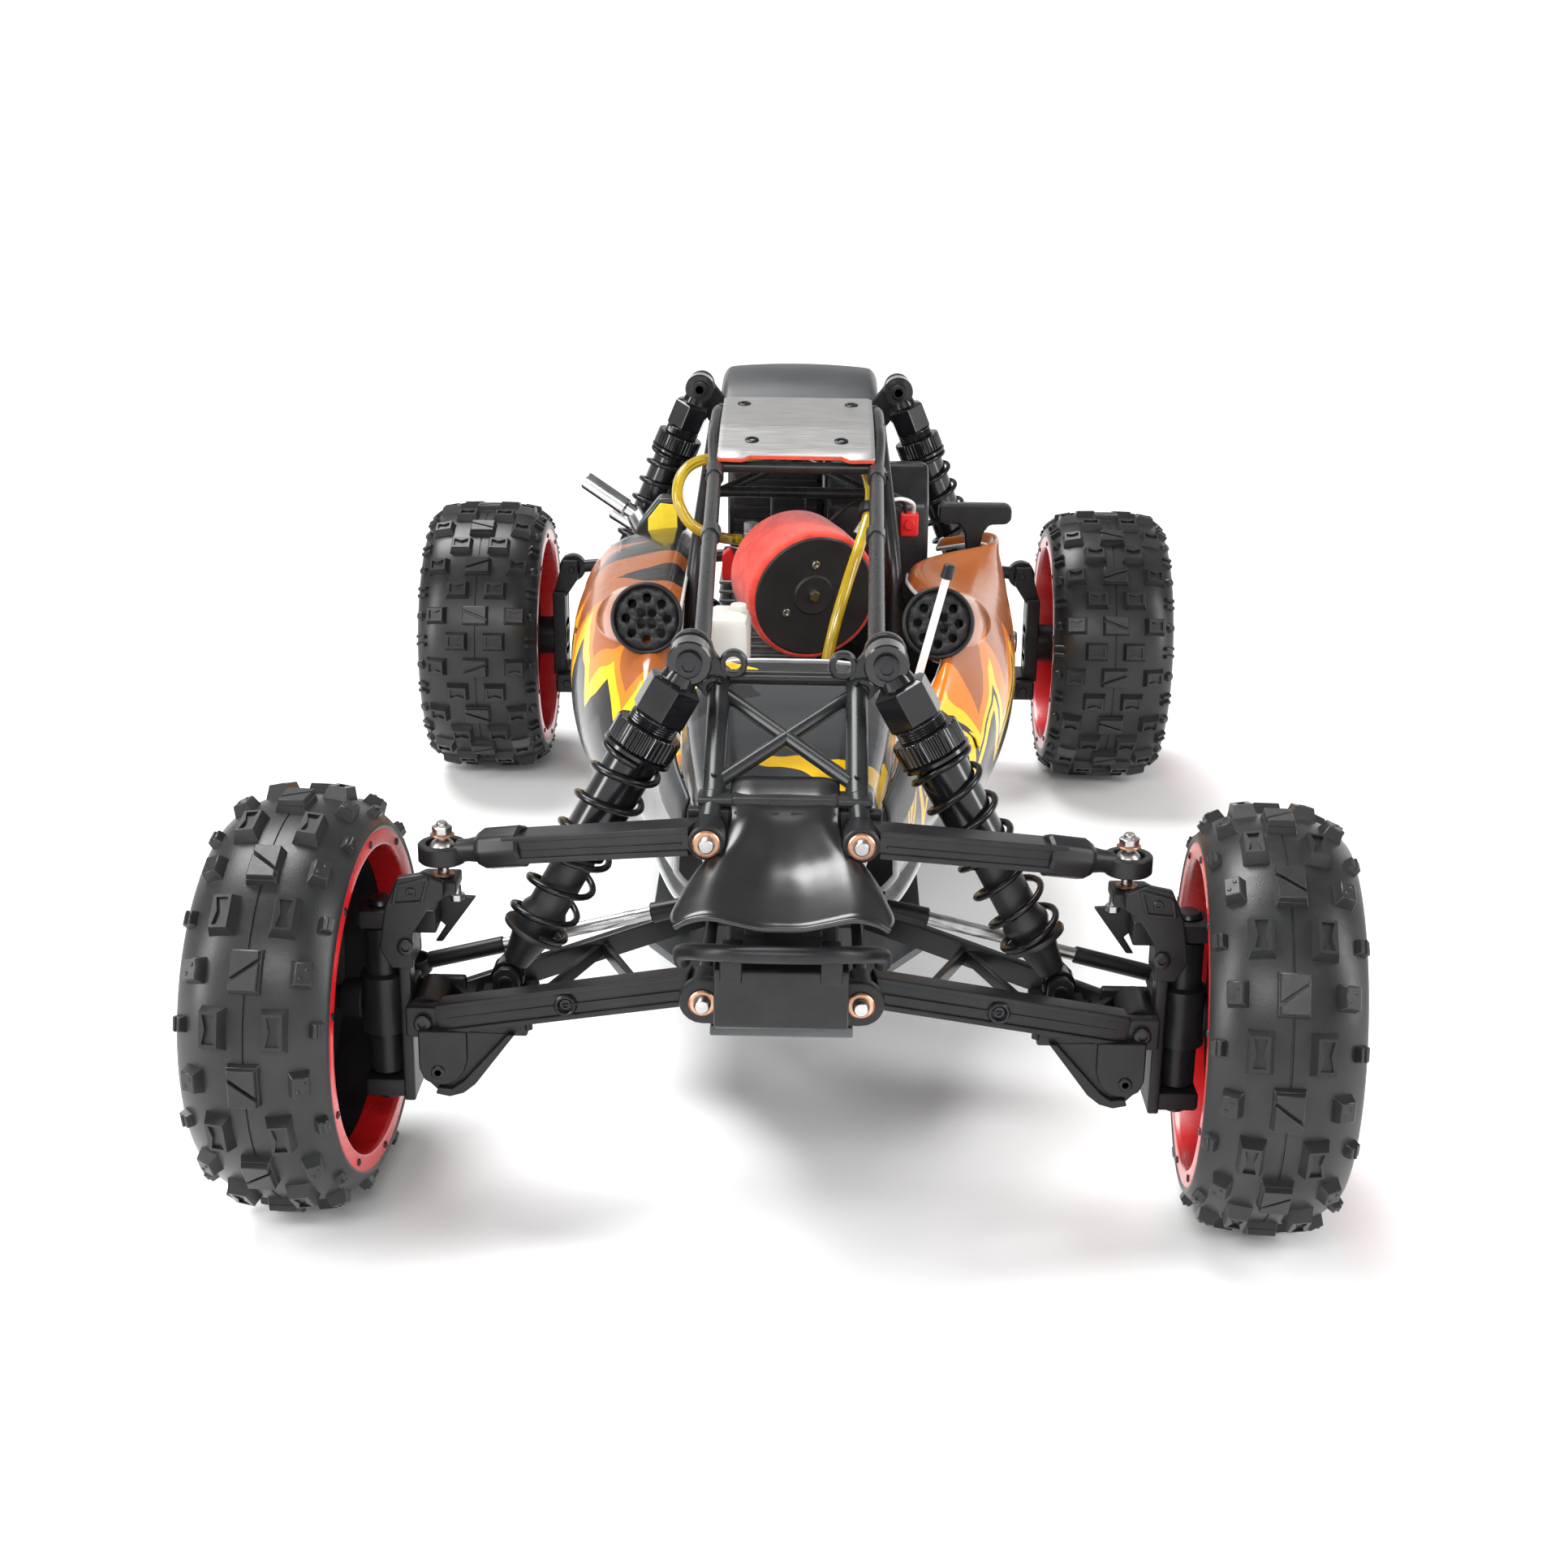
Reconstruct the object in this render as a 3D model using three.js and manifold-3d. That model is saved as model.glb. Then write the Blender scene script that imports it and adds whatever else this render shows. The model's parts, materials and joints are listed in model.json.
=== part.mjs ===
// Fifth-scale petrol off-road buggy: tubular cage, four independent corners, steered front wheels.
// Millimetres, +Z up, the front of the buggy towards -Y, standing on z = 0.
import * as THREE from 'three';
import { mergeVertices } from 'three/addons/utils/BufferGeometryUtils.js';
import Module from 'manifold-3d';

const wasm = await Module();
wasm.setup();

// ---------- driving dimensions ----------
const WHEELBASE = 570;
const FRONT_Y = -321.5;
const REAR_Y = FRONT_Y + WHEELBASE;
const TYRE_RADIUS = 85;
const BEAD_RADIUS = 66.3;
const TYRE_SIDES = 28;
const RIM_SIDES = 16;
const FRONT_TRACK_HALF = 189.5;
const REAR_TRACK_HALF = 195;
const FRONT_TYRE_WIDTH = 60;
const REAR_TYRE_WIDTH = 76;
const KINGPIN_X = 158;
const REST_STEER = THREE.MathUtils.degToRad(-4);
const PIN_R = 2.6;
const PIN_BORE = 2.95;
const CAGE_R = 3.5;

// Pivots of the right-hand front corner; the left one is its mirror image.
const FRONT = {
  lowerPin: [29.6, 108],
  upperPin: [28.5, 169],
  outerPin: [140, 84],
  ball: [133, 148],
  shockTop: [38, -301, 221],
  shockFoot: [110, -312, 92.7],
  tieInner: [35, 117.5],
  tieOuter: [155, 88],
  tieY: FRONT_Y + 28,
};
// Pivots of the right-hand rear corner.
const REAR = {
  lowerPin: [32, 72],
  upperPin: [38, 140],
  outerPin: [146, 58],
  linkEnd: [143, 130],
  shockTop: [60, 214, 250],
  shockFoot: [132, 222, 76],
  driveInner: [32, 88],
  driveOuter: [142, 85],
};

// ---------- solids ----------
function solid(geometry) {
  const bare = geometry.index ? geometry.toNonIndexed() : geometry.clone();
  bare.deleteAttribute('normal');
  bare.deleteAttribute('uv');
  const merged = mergeVertices(bare, 1e-4);
  return new wasm.Manifold(new wasm.Mesh({
    numProp: 3,
    vertProperties: new Float32Array(merged.attributes.position.array),
    triVerts: new Uint32Array(merged.index.array),
  }));
}

function join(...parts) {
  return parts.reduce((whole, part) => whole.add(part));
}

function cut(whole, ...parts) {
  return parts.reduce((rest, part) => rest.subtract(part), whole);
}

function toGeometry(body) {
  const mesh = body.getMesh();
  const geometry = new THREE.BufferGeometry();
  geometry.setAttribute('position', new THREE.BufferAttribute(new Float32Array(mesh.vertProperties), 3));
  geometry.setIndex(new THREE.BufferAttribute(new Uint32Array(mesh.triVerts), 1));
  geometry.computeVertexNormals();
  return geometry;
}

// A block between pairs of limits along X, Y and Z.
function block(xs, ys, zs) {
  const size = [xs, ys, zs].map(([a, b]) => Math.abs(b - a));
  const middle = [xs, ys, zs].map(([a, b]) => (a + b) / 2);
  return solid(new THREE.BoxGeometry(...size).translate(...middle));
}

// A matrix that stands local X along the line from a to b, with local Y near the world's Y or Z.
function along(a, b) {
  const direction = new THREE.Vector3(...b).sub(new THREE.Vector3(...a)).normalize();
  const hint = Math.abs(direction.y) > 0.8 ? new THREE.Vector3(0, 0, 1) : new THREE.Vector3(0, 1, 0);
  const up = new THREE.Vector3().crossVectors(direction, hint).normalize();
  const side = new THREE.Vector3().crossVectors(up, direction);
  const middle = new THREE.Vector3(...a).add(new THREE.Vector3(...b)).multiplyScalar(0.5);
  return new THREE.Matrix4().makeBasis(direction, side, up).setPosition(middle);
}

// A square-edged beam from a to b, width across and height up.
function beam(a, b, width, height) {
  const length = new THREE.Vector3(...a).distanceTo(new THREE.Vector3(...b));
  return solid(new THREE.BoxGeometry(length, width, height).applyMatrix4(along(a, b)));
}

// A round or many-sided bar from a to b; the radius may taper.
function rod(a, b, radius, sides = 8, endRadius = radius) {
  const length = new THREE.Vector3(...a).distanceTo(new THREE.Vector3(...b));
  const bar = new THREE.CylinderGeometry(endRadius, radius, length, sides);
  bar.rotateZ(-Math.PI / 2);
  return solid(bar.applyMatrix4(along(a, b)));
}

// A flat outline extruded between two places along one axis.
function slab(axis, outline, from, to, hole = null) {
  const shape = new THREE.Shape(outline.map(([u, v]) => new THREE.Vector2(u, v)));
  if (hole) {
    shape.holes.push(new THREE.Path(hole.map(([u, v]) => new THREE.Vector2(u, v))));
  }
  const geometry = new THREE.ExtrudeGeometry(shape, { depth: to - from, bevelEnabled: false });
  geometry.translate(0, 0, from);
  const basis = {
    x: [[0, 1, 0], [0, 0, 1], [1, 0, 0]],
    y: [[0, 0, 1], [1, 0, 0], [0, 1, 0]],
    z: [[1, 0, 0], [0, 1, 0], [0, 0, 1]],
  }[axis].map((v) => new THREE.Vector3(...v));
  return solid(geometry.applyMatrix4(new THREE.Matrix4().makeBasis(...basis)));
}

function circle(u, v, radius, sides) {
  return Array.from({ length: sides }, (_, i) => {
    const angle = (2 * Math.PI * (i + 0.5)) / sides;
    return [u + radius * Math.cos(angle), v + radius * Math.sin(angle)];
  });
}

// An eye: a short tube along Y or Z with a clear bore.
function eyeY([x, z], y, outer, bore, width, sides = 10) {
  const from = y - width / 2;
  return slab('y', circle(z, x, outer, sides), from, from + width, circle(z, x, bore, sides));
}

function eyeZ([x, y, z], outer, bore, height, sides = 10) {
  const from = z - height / 2;
  return slab('z', circle(x, y, outer, sides), from, from + height, circle(x, y, bore, sides));
}

function pinY([x, z], from, to, radius = PIN_R) {
  return rod([x, from, z], [x, to, z], radius, 8);
}

// A ring turned about the axle, from a closed profile of [distance along X, radius] points.
function turned(profile, centre, sides) {
  const points = profile.map(([x, r]) => new THREE.Vector2(r, x));
  const loop = THREE.ShapeUtils.isClockWise(points) ? points.reverse() : points;
  const ring = new THREE.LatheGeometry([...loop, loop[0]], sides, Math.PI / sides);
  ring.rotateZ(-Math.PI / 2);
  return solid(ring.translate(...centre));
}

// A closed skin between two grids of matching points.
function shellBetween(outer, inner) {
  const columns = outer[0].length;
  const last = outer.length - 1;
  const n = outer.length * columns;
  const vertices = [...outer.flat(), ...inner.flat()];
  const faces = [];
  const quad = (a, b, c, d) => faces.push(a, b, c, a, c, d);
  const index = (row, column) => row * columns + column;
  for (let r = 0; r < last; r += 1) {
    for (let c = 0; c < columns - 1; c += 1) {
      const [a, b, d, e] = [index(r, c), index(r, c + 1), index(r + 1, c + 1), index(r + 1, c)];
      quad(a, b, d, e);
      quad(e + n, d + n, b + n, a + n);
    }
  }
  const rim = [];
  for (let c = 0; c < columns - 1; c += 1) rim.push(index(0, c));
  for (let r = 0; r < last; r += 1) rim.push(index(r, columns - 1));
  for (let c = columns - 1; c > 0; c -= 1) rim.push(index(last, c));
  for (let r = last; r > 0; r -= 1) rim.push(index(r, 0));
  rim.forEach((a, i) => {
    const b = rim[(i + 1) % rim.length];
    quad(b, a, a + n, b + n);
  });
  const geometry = new THREE.BufferGeometry();
  geometry.setAttribute('position', new THREE.Float32BufferAttribute(vertices.flat(), 3));
  geometry.setIndex(facingOut(vertices, faces));
  return solid(geometry);
}

// The same triangles, all turned over where they enclose a negative volume.
function facingOut(vertices, faces) {
  let volume = 0;
  for (let i = 0; i < faces.length; i += 3) {
    const [a, b, c] = [0, 1, 2].map((k) => new THREE.Vector3(...vertices[faces[i + k]]));
    volume += a.dot(b.cross(c));
  }
  if (volume >= 0) return faces;
  const turned = [];
  for (let i = 0; i < faces.length; i += 3) turned.push(faces[i], faces[i + 2], faces[i + 1]);
  return turned;
}

// A thick sheet through rows of points, its thickness laid off along one vector.
function sheet(rows, offset) {
  const shifted = rows.map((row) => row.map((p) => p.map((value, i) => value + offset[i])));
  return shellBetween(rows, shifted);
}

// A round tube along a smooth curve through hand-placed points.
function hose(points, radius, sides, steps) {
  const path = new THREE.CatmullRomCurve3(points.map((p) => new THREE.Vector3(...p)));
  const section = new THREE.Shape(circle(0, 0, radius, sides).map(([u, v]) => new THREE.Vector2(u, v)));
  return solid(new THREE.ExtrudeGeometry(section, { steps, bevelEnabled: false, extrudePath: path }));
}

// The same polyline as straight bars that share their end points.
function bars(points, radius, sides = 8) {
  const pieces = points.slice(1).map((end, i) => rod(points[i], end, radius, sides));
  return join(...pieces);
}

function both(build) {
  return join(build(1), build(-1));
}

const side = (s, [x, y, z]) => [s * x, y, z];
const flip = (s, [x, z]) => [s * x, z];

// ---------- materials ----------
const finish = (color, roughness, metalness = 0) => ({ color, roughness, metalness });
const NYLON = finish(0x1b1c1e, 0.5);
const TUBE = finish(0x232527, 0.42);
const STEEL = finish(0xb9bcc0, 0.28, 0.9);
const ANODISED = finish(0x0f1012, 0.3, 0.6);
const RUBBER = finish(0x1a1b1c, 0.75);
const SHELL = finish(0xe08a1e, 0.25);

const buggy = new THREE.Group();

function add(name, body, look, parent = buggy) {
  const mesh = new THREE.Mesh(toGeometry(body), new THREE.MeshStandardMaterial(look));
  mesh.name = name;
  parent.add(mesh);
  return mesh;
}

// ---------- chassis and body ----------
function chassisPlate() {
  const floor = [[-27, -262], [27, -262], [62, -205], [66, 150], [40, 205], [28, 300],
    [-28, 300], [-40, 205], [-66, 150], [-62, -205]];
  const kickUp = [[-263, 60], [-260, 64], [-372, 98.6], [-373, 94.6]];
  return join(slab('z', floor, 60, 64), slab('x', kickUp, -27, 27));
}

function frontBulkhead() {
  const wall = [[-362, 96.2], [-274, 69.0], [-274, 123], [-285, 123], [-285, 103], [-332, 103],
    [-332, 176], [-348, 176], [-348, 120], [-366, 118], [-366, 97.5]];
  const lowerPlates = join(
    block([-37, 37], [-370.5, -365], [99.5, 117]),
    block([-37, 37], [-274.5, -269], [99.5, 117]),
  );
  const corner = (s) => join(
    pinY(flip(s, FRONT.lowerPin), -373, -268),
    block([20 * s, 36.5 * s], [-347, -341], [161, 176]),
    pinY(flip(s, FRONT.upperPin), -366, -342),
  );
  return join(slab('x', wall, -21, 21), lowerPlates, both(corner));
}

function frontBumper() {
  const skid = [[-374.5, 98], [-378, 98.5], [-392, 108], [-394, 131], [-388, 134], [-385, 131],
    [-383, 111], [-374.5, 104]];
  const arch = [[-37, -372.5, 126], [-36, -384, 134], [-26, -398, 140], [-12, -404, 142], [12, -404, 142],
    [26, -398, 140], [36, -384, 134], [37, -372.5, 126]];
  const webs = both((s) => block([14 * s, 22 * s], [-402, -387], [129, 141]));
  return join(slab('x', skid, -24.5, 24.5), bars(arch, 3.2), webs);
}

function noseCover() {
  const section = (y, z, half, drop) => [[-half, y, z - drop], [-half * 0.62, y, z], [-half * 0.25, y, z - 3],
    [half * 0.25, y, z - 3], [half * 0.62, y, z], [half, y, z - drop]];
  const rows = [section(-349.5, 173, 19, 3), section(-357, 166, 20, 4), section(-366.8, 161, 21, 6),
    section(-375, 157.5, 30, 9), section(-388, 154, 37, 7), section(-401, 150.5, 38, 2)];
  return sheet(rows, [0, 0, -2.2]);
}

function towerFrame() {
  const foot = block([-33, 33], [-347, -331], [176.4, 181]);
  const post = (s) => join(
    rod([27 * s, -339, 178], [27 * s, -280, 211], 4.2),
    rod([38 * s, -288.5, 221], [38 * s, -283.5, 221], 9, 12),
    block([24 * s, 38 * s], [-288.5, -283.5], [204, 224]),
    pinY([38 * s, 221], -309, -285, 4),
    rod([27 * s, -334, 181.5], [-27 * s, -289, 205.5], 2.6, 8),
  );
  const crossTube = rod([-27, -283, 209.5], [27, -283, 209.5], 3, 8);
  return join(foot, both(post), crossTube);
}

function rollCage() {
  const roofFront = [42, 13, 239];
  const roofBend = [44, 48, 248.5];
  const hoopTop = [44, 72, 251.4];
  const roofRear = [44, 104, 255];
  const hoopWaist = [53, 20, 185];
  const flank = (s) => join(
    bars([[35, -276, 214], roofFront, roofBend, hoopTop, roofRear, [34, 228, 218]].map((p) => side(s, p)), CAGE_R, 6),
    bars([hoopTop, hoopWaist, [59, 0, 66.5]].map((p) => side(s, p)), 4.2, 6),
    rod(side(s, [40, 150, 240]), side(-s, [49, 54, 214]), 2.8, 6),
  );
  const bar = ([x, y, z], radius) => rod([-x, y, z], [x, y, z], radius, 6);
  return join(both(flank), bar(roofFront, 3), bar(roofRear, 3), bar([49, 54, 218], 3));
}

function roofPlate() {
  const lower = [[8, 242.4], [48.5, 252.6], [107, 259.1]];
  const upper = lower.map(([y, z]) => [y, z + 2.2]).reverse();
  const notch = slab('z', [[-28, 0], [-24, 12], [24, 12], [28, 0]], 235, 250);
  return cut(slab('x', [...lower, ...upper], -41, 41), notch);
}

function hoodPanel() {
  const section = (y, z, half) => [[-half, y, z - 24], [-half * 0.9, y, z - 6], [-half * 0.55, y, z],
    [half * 0.55, y, z], [half * 0.9, y, z - 6], [half, y, z - 24]];
  const rows = [section(-198, 193, 46), section(-240, 189, 44), section(-285, 181, 38), section(-327, 171, 30)];
  return sheet(rows, [0, 0, -2.2]);
}

// Rows across a side panel from its nose to its tail; s is the side. The right panel's inner edge
// is cut back for the antenna, the starter and its handle.
function panelRows(s) {
  const section = (y, top, out, low, edges) => [[edges[0], y, top - 6], [edges[1], y, top],
    [edges[2], y, top - 9], [out, y, top - 36], [out * 0.98, y, (top + low) / 2 - 14],
    [out * 0.8, y, low + 4], [Math.min(66, out * 0.9), y, low]].map((p) => side(s, p));
  const flank = (y, top, out, low, cutBack) => {
    const inner = s > 0 ? cutBack : 59;
    const edges = [59, 70, out * 0.86].map((x, i) => Math.max(x, inner + 3 * i));
    return section(y, top, out, low, edges);
  };
  return [section(-262, 160, 47, 104, [40, 43, 45]), section(-215, 159, 57, 92, [45, 50, 54]),
    section(-165, 154, 68, 87, [52, 59, 64]),
    flank(-128, 152, 78, 84, 59), flank(-92, 170, 98, 70, 74), flank(-40, 180, 112, 66, 76),
    flank(30, 186, 119, 66, 62), flank(74, 188, 120, 68, 107), flank(108, 187, 119, 68, 107),
    flank(142, 176, 104, 72, 84)];
}

function sidePanelBody(s) {
  const inward = [0, 0, 1, 2.4, 2.4, 1.6, 0];
  const lift = [-2.4, -2.4, -2, 0, 0, 1.6, 2.4];
  const outer = panelRows(s);
  const inner = outer.map((row) => row.map(([x, y, z], i) => [x - s * inward[i], y, z + lift[i]]));
  const shell = shellBetween(outer, inner);
  return s > 0 ? shell : join(shell, block([-92, -62], [104, 122], [178, 204]));
}

function rearWing() {
  const section = (y, edge, crown) => [[-48, y, edge], [-40, y, edge + (crown - edge) * 0.8], [-14, y, crown],
    [14, y, crown], [40, y, edge + (crown - edge) * 0.8], [48, y, edge]];
  const rows = [section(241, 236, 239), section(262, 242, 248), section(282, 245, 252.5), section(300, 246, 254)];
  const stalk = block([-9, 9], [236.4, 252], [212, 238]);
  return join(sheet(rows, [0, 0, -3]), stalk);
}

function gearboxHousing() {
  const caseBody = block([-24, 24], [203, 292], [64.4, 112]);
  const tower = [[-22, 104], [22, 104], [34, 190], [52, 224], [70, 242], [70, 258], [50, 260], [30, 232],
    [-30, 232], [-50, 260], [-70, 258], [-70, 242], [-52, 224], [-34, 190]]
    .map(([x, z]) => [z, x]);
  const plates = join(block([-38, 38], [199.5, 203.5], [64.4, 79]), block([-38, 38], [291.5, 296], [64.4, 79]));
  const corner = (s) => join(
    pinY(flip(s, REAR.lowerPin), 199, 297),
    pinY(flip(s, REAR.shockTop.filter((_, i) => i !== 1)), 206, 232, 4),
    block([24 * s, 46 * s], [231, 237], [132, 148]),
    pinY(flip(s, REAR.upperPin), 234, 256),
    rod([22 * s, REAR_Y, 88], [27 * s, REAR_Y, 88], 11, 10),
  );
  const bumperArms = both((s) => bars([[20, 288, 84], [24, 350, 92], [30, 403, 96]].map((p) => side(s, p)), 3.4));
  const bumper = bars([[-52, 396, 96], [-34, 406.25, 96], [34, 406.25, 96], [52, 396, 96]], 3.5);
  return join(caseBody, slab('y', tower, 231, 236), plates, both(corner), bumperArms, bumper);
}

function engineBlock() {
  const crankcase = block([-34, 14], [64, 130], [64.4, 118]);
  const cylinder = block([-36, 8], [70, 124], [116, 168]);
  const fins = [124, 134, 144, 154, 164].map((z) => block([-42, 13], [66, 128], [z, z + 3]));
  const intake = rod([-12, 72, 150], [-12, 47, 172], 12, 12);
  const carburettor = block([-28, 6], [44, 58], [166, 198]);
  return join(crankcase, cylinder, ...fins, intake, carburettor);
}

function engineShroud() {
  const outline = [[84, 80], [150, 80], [156, 110], [150, 190], [134, 222], [104, 226], [86, 206], [80, 150]];
  const cowl = slab('x', outline, 18, 74);
  const starter = rod([73, 112, 128], [88, 112, 128], 32, 14);
  const chimney = rod([93, 92, 128], [93, 92, 168], 6, 10);
  const bridge = block([80, 97], [90, 104], [122, 134]);
  const bore = rod([93, 92, 110], [93, 92, 170], 2.4, 8);
  return cut(join(cowl, starter, bridge, chimney), bore);
}

function airFilter() {
  return rod([11, -10, 176], [-4, 34, 182], 35, 24, 33);
}

function fuelTank() {
  const low = block([-50, 26], [-78, -34], [64.4, 128]);
  const high = block([-49, -29], [-36, 12], [64.4, 142]);
  const neck = rod([-39, -14, 140], [-39, -14, 147], 8, 12);
  return join(low, high, neck);
}

function fuelCap() {
  return join(rod([-39, -14, 147.4], [-39, -14, 156], 10, 12), rod([-39, -14, 155], [-39, -14, 160], 6, 8));
}

function fuelLine() {
  const route = [[-29.4, 52, 192], [-35, 49, 193], [-40, 34, 197], [-47, 21, 202], [-56, 16, 209], [-62, 19, 221],
    [-60, 29, 232], [-51, 41, 237], [-37, 48, 237], [-20, 50, 239], [0, 51, 240], [20, 49, 240], [34, 40, 236], [39, 22, 228],
    [38, 2, 218], [33, -18, 204], [27, -32, 188], [21, -42, 168], [17, -48, 148], [16, -50, 128.4]];
  return hose(route, 3, 6, 40);
}

function receiverBox() {
  const box = block([16, 56], [-150, -92], [64.4, 96]);
  const socket = rod([50, -110, 94], [53, -104, 128], 4, 10);
  const tube = rod([52.8, -104.4, 126], [74.2, -104, 215.5], 2.2, 8);
  return join(box, socket, tube);
}

function exhaustPipe() {
  const header = bars([[-49, 100, 140], [-56, 112, 142], [-72, 140, 150], [-88, 170, 166], [-97, 188, 177]], 6.5, 8);
  const can = rod([-56, 116, 112], [-56, 160, 122], 15, 12);
  const tips = join(
    rod([-94, 184, 176], [-128, 192, 197], 5.2),
    rod([-94, 192, 168], [-112, 196, 178], 5.2),
  );
  return join(header, can, block([-62, -50], [118, 136], [118, 144]), tips);
}

function pullHandle() {
  const grip = slab('x', circle(88, 201, 6, 10), 79, 120);
  const neck = block([92, 104], [84, 92], [176, 200]);
  const stem = rod([93, 92, 170], [93, 92, 179], 4.5, 10);
  const rope = rod([93, 92, 114], [93, 92, 172], 1.6, 8);
  return join(grip, neck, block([90, 100], [86, 94], [172, 180]), stem, rope);
}

// ---------- shared corner pieces ----------
// Places along a shock's line, counted from its upper eye.
function shockLine(s, top, foot) {
  const from = new THREE.Vector3(...side(s, top));
  const to = new THREE.Vector3(...side(s, foot));
  const length = from.distanceTo(to);
  const unit = to.sub(from).divideScalar(length);
  const at = (d) => from.clone().addScaledVector(unit, d).toArray();
  return { at, length };
}

function shockBody(s, end, barrel) {
  const { at } = shockLine(s, end.shockTop, end.shockFoot);
  const [x, y, z] = side(s, end.shockTop);
  const eye = eyeY([x, z], y, 8.6, 4.35, 11);
  const stack = join(
    rod(at(7), at(12), 7.5, 8),
    rod(at(10), at(30), 11.8, 6),
    rod(at(29), at(42), 13.5, 12),
    rod(at(41), at(barrel), 10.2, 10),
  );
  return join(eye, cut(stack, rod(at(36), at(barrel + 2), 4.8, 8)));
}

function shockShaft(s, end, barrel, stroke) {
  const { at, length } = shockLine(s, end.shockTop, end.shockFoot);
  const [x, y, z] = side(s, end.shockFoot);
  const cup = length - 23;
  return join(
    eyeY([x, z], y, 6.8, 4.7, 8),
    rod(at(length - 6.5), at(cup), 4.2),
    rod(at(cup), at(cup + 3), 13.4, 12),
    rod(at(cup + 1), at(cup - 9), 8, 10),
    rod(at(cup - 8), at(38 + stroke), 3.6, 6),
  );
}

function spring(s, end) {
  const { at, length } = shockLine(s, end.shockTop, end.shockFoot);
  const [from, to] = [at(42.5), at(length - 23.5)];
  return cut(rod(from, to, 14, 12), rod(at(41), at(length - 22), 11.3, 12));
}

// A tyre's closed section: bead, bulged walls and flat tread.
function tyreBody(centre, width) {
  const half = width / 2;
  const wall = [[half - 8, BEAD_RADIUS], [half - 3, 70], [half, 76], [half - 3, 82.5], [half - 12, TYRE_RADIUS]]
    .map(([x, r]) => [x, r / Math.cos(Math.PI / TYRE_SIDES)]);
  const other = wall.map(([x, r]) => [-x, r]).reverse();
  return turned([...wall, ...other], centre, TYRE_SIDES);
}

// A rim: barrel with two bead flanges, web and hub; out is the outboard direction.
function rimBody(centre, width, out, web, hubBore) {
  const half = width / 2 - 2;
  const lip = half - 5.8;
  const barrel = BEAD_RADIUS - 0.9;
  const outboard = [[half, 68.6], [half, 61], [web + 7, 59], [web + 6, 14], [web + 12, 13], [web + 12, hubBore],
    [web - 10, hubBore], [web - 10, 12], [web, 14], [web, 59]];
  const inboard = [[-half, 61], [-half, 68.6], [-half + 0.5, 68.6], [-lip, barrel], [lip, barrel],
    [half - 0.5, 68.6]];
  const profile = [...outboard, ...inboard].map(([x, r]) => [out * x, r]);
  return turned(profile, centre, RIM_SIDES);
}

// ---------- front corners ----------
function frontLowerArm(s) {
  const place = (x, y, z) => [s * x, y, z];
  const [px, pz] = FRONT.lowerPin;
  const inner = join(
    eyeY(flip(s, FRONT.lowerPin), -357.5, 6.5, PIN_BORE, 14),
    eyeY(flip(s, FRONT.lowerPin), -277.5, 6.5, PIN_BORE, 4.6),
  );
  const beams = join(
    beam(place(px + 4.5, -355, pz), place(134, -338, 85.5), 9, 13),
    beam(place(px + 4.5, -278, pz - 2), place(134, -306, 80), 5, 10),
    beam(place(52, -350, 100), place(74, -288, 95), 3, 6),
    beam(place(74, -288, 95), place(100, -342, 90), 3, 6),
    beam(place(98, -343, 85), place(124, -304, 80), 3, 6),
  );
  const fork = join(
    block([128 * s, 147 * s], [FRONT_Y - 19, FRONT_Y - 12.5], [78, 90]),
    block([128 * s, 147 * s], [FRONT_Y + 12.5, FRONT_Y + 17.5], [76, 89]),
    pinY(flip(s, FRONT.outerPin), FRONT_Y - 16, FRONT_Y + 15),
  );
  const [fx, fy, fz] = FRONT.shockFoot;
  const clevis = join(
    block([99 * s, 121 * s], [-343, -301], [79.5, 85.6]),
    block([(fx - 5) * s, (fx + 5) * s], [fy - 9.7, fy - 6.2], [80, fz + 5]),
    block([(fx - 5) * s, (fx + 5) * s], [fy + 6.2, fy + 9.7], [80, fz + 5]),
    pinY([fx * s, fz], fy - 8, fy + 8),
  );
  const guard = slab('y', [[80, 106 * s], [81, 140 * s], [66, 139 * s], [57, 134 * s], [55, 128 * s], [60, 122 * s]],
    FRONT_Y - 22, FRONT_Y - 17);
  return join(inner, beams, fork, clevis, guard);
}

function frontUpperArm(s) {
  const place = (x, y, z) => [s * x, y, z];
  const [bx, bz] = FRONT.ball;
  return join(
    eyeY(flip(s, FRONT.upperPin), -357.5, 6.5, PIN_BORE, 14),
    beam(place(33.5, -356.5, 168.5), place(104, -331.5, 154.2), 13, 9),
    rod(place(101, -332.5, 154.8), place(123, -325, 150), 6.5, 8),
    rod(place(121, -325.6, 150.4), place(126, -324, 149), 4.5, 8),
    eyeZ(place(bx, FRONT_Y, bz), 9.6, 6.4, 7.4),
  );
}

function frontCarrier(s) {
  const half = 11.8;
  const [bx] = FRONT.ball;
  const wall = block([145.5 * s, 150 * s], [FRONT_Y - half, FRONT_Y + half], [46, 126]);
  const reach = [148 * s, 166 * s];
  const jaws = join(
    block(reach, [FRONT_Y - 9, FRONT_Y + 9], [118, 126]),
    block(reach, [FRONT_Y - 9, FRONT_Y + 9], [46, 54]),
  );
  const gooseneck = slab('y', [[120, 150 * s], [133, 150 * s], [138, 141 * s], [138, 127 * s], [133, 127 * s],
    [130, 139 * s], [120, 146 * s]], FRONT_Y - 8, FRONT_Y + 8);
  const stud = rod([bx * s, FRONT_Y, 137], [bx * s, FRONT_Y, 159], 2.2, 10);
  const lug = eyeY(flip(s, FRONT.outerPin), FRONT_Y, 7.4, PIN_BORE, 2 * half);
  const armWindow = block([144 * s, 151 * s], [FRONT_Y - 2, FRONT_Y + 13], [93, 101]);
  return join(cut(wall, armWindow), jaws, gooseneck, stud, lug);
}

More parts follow.
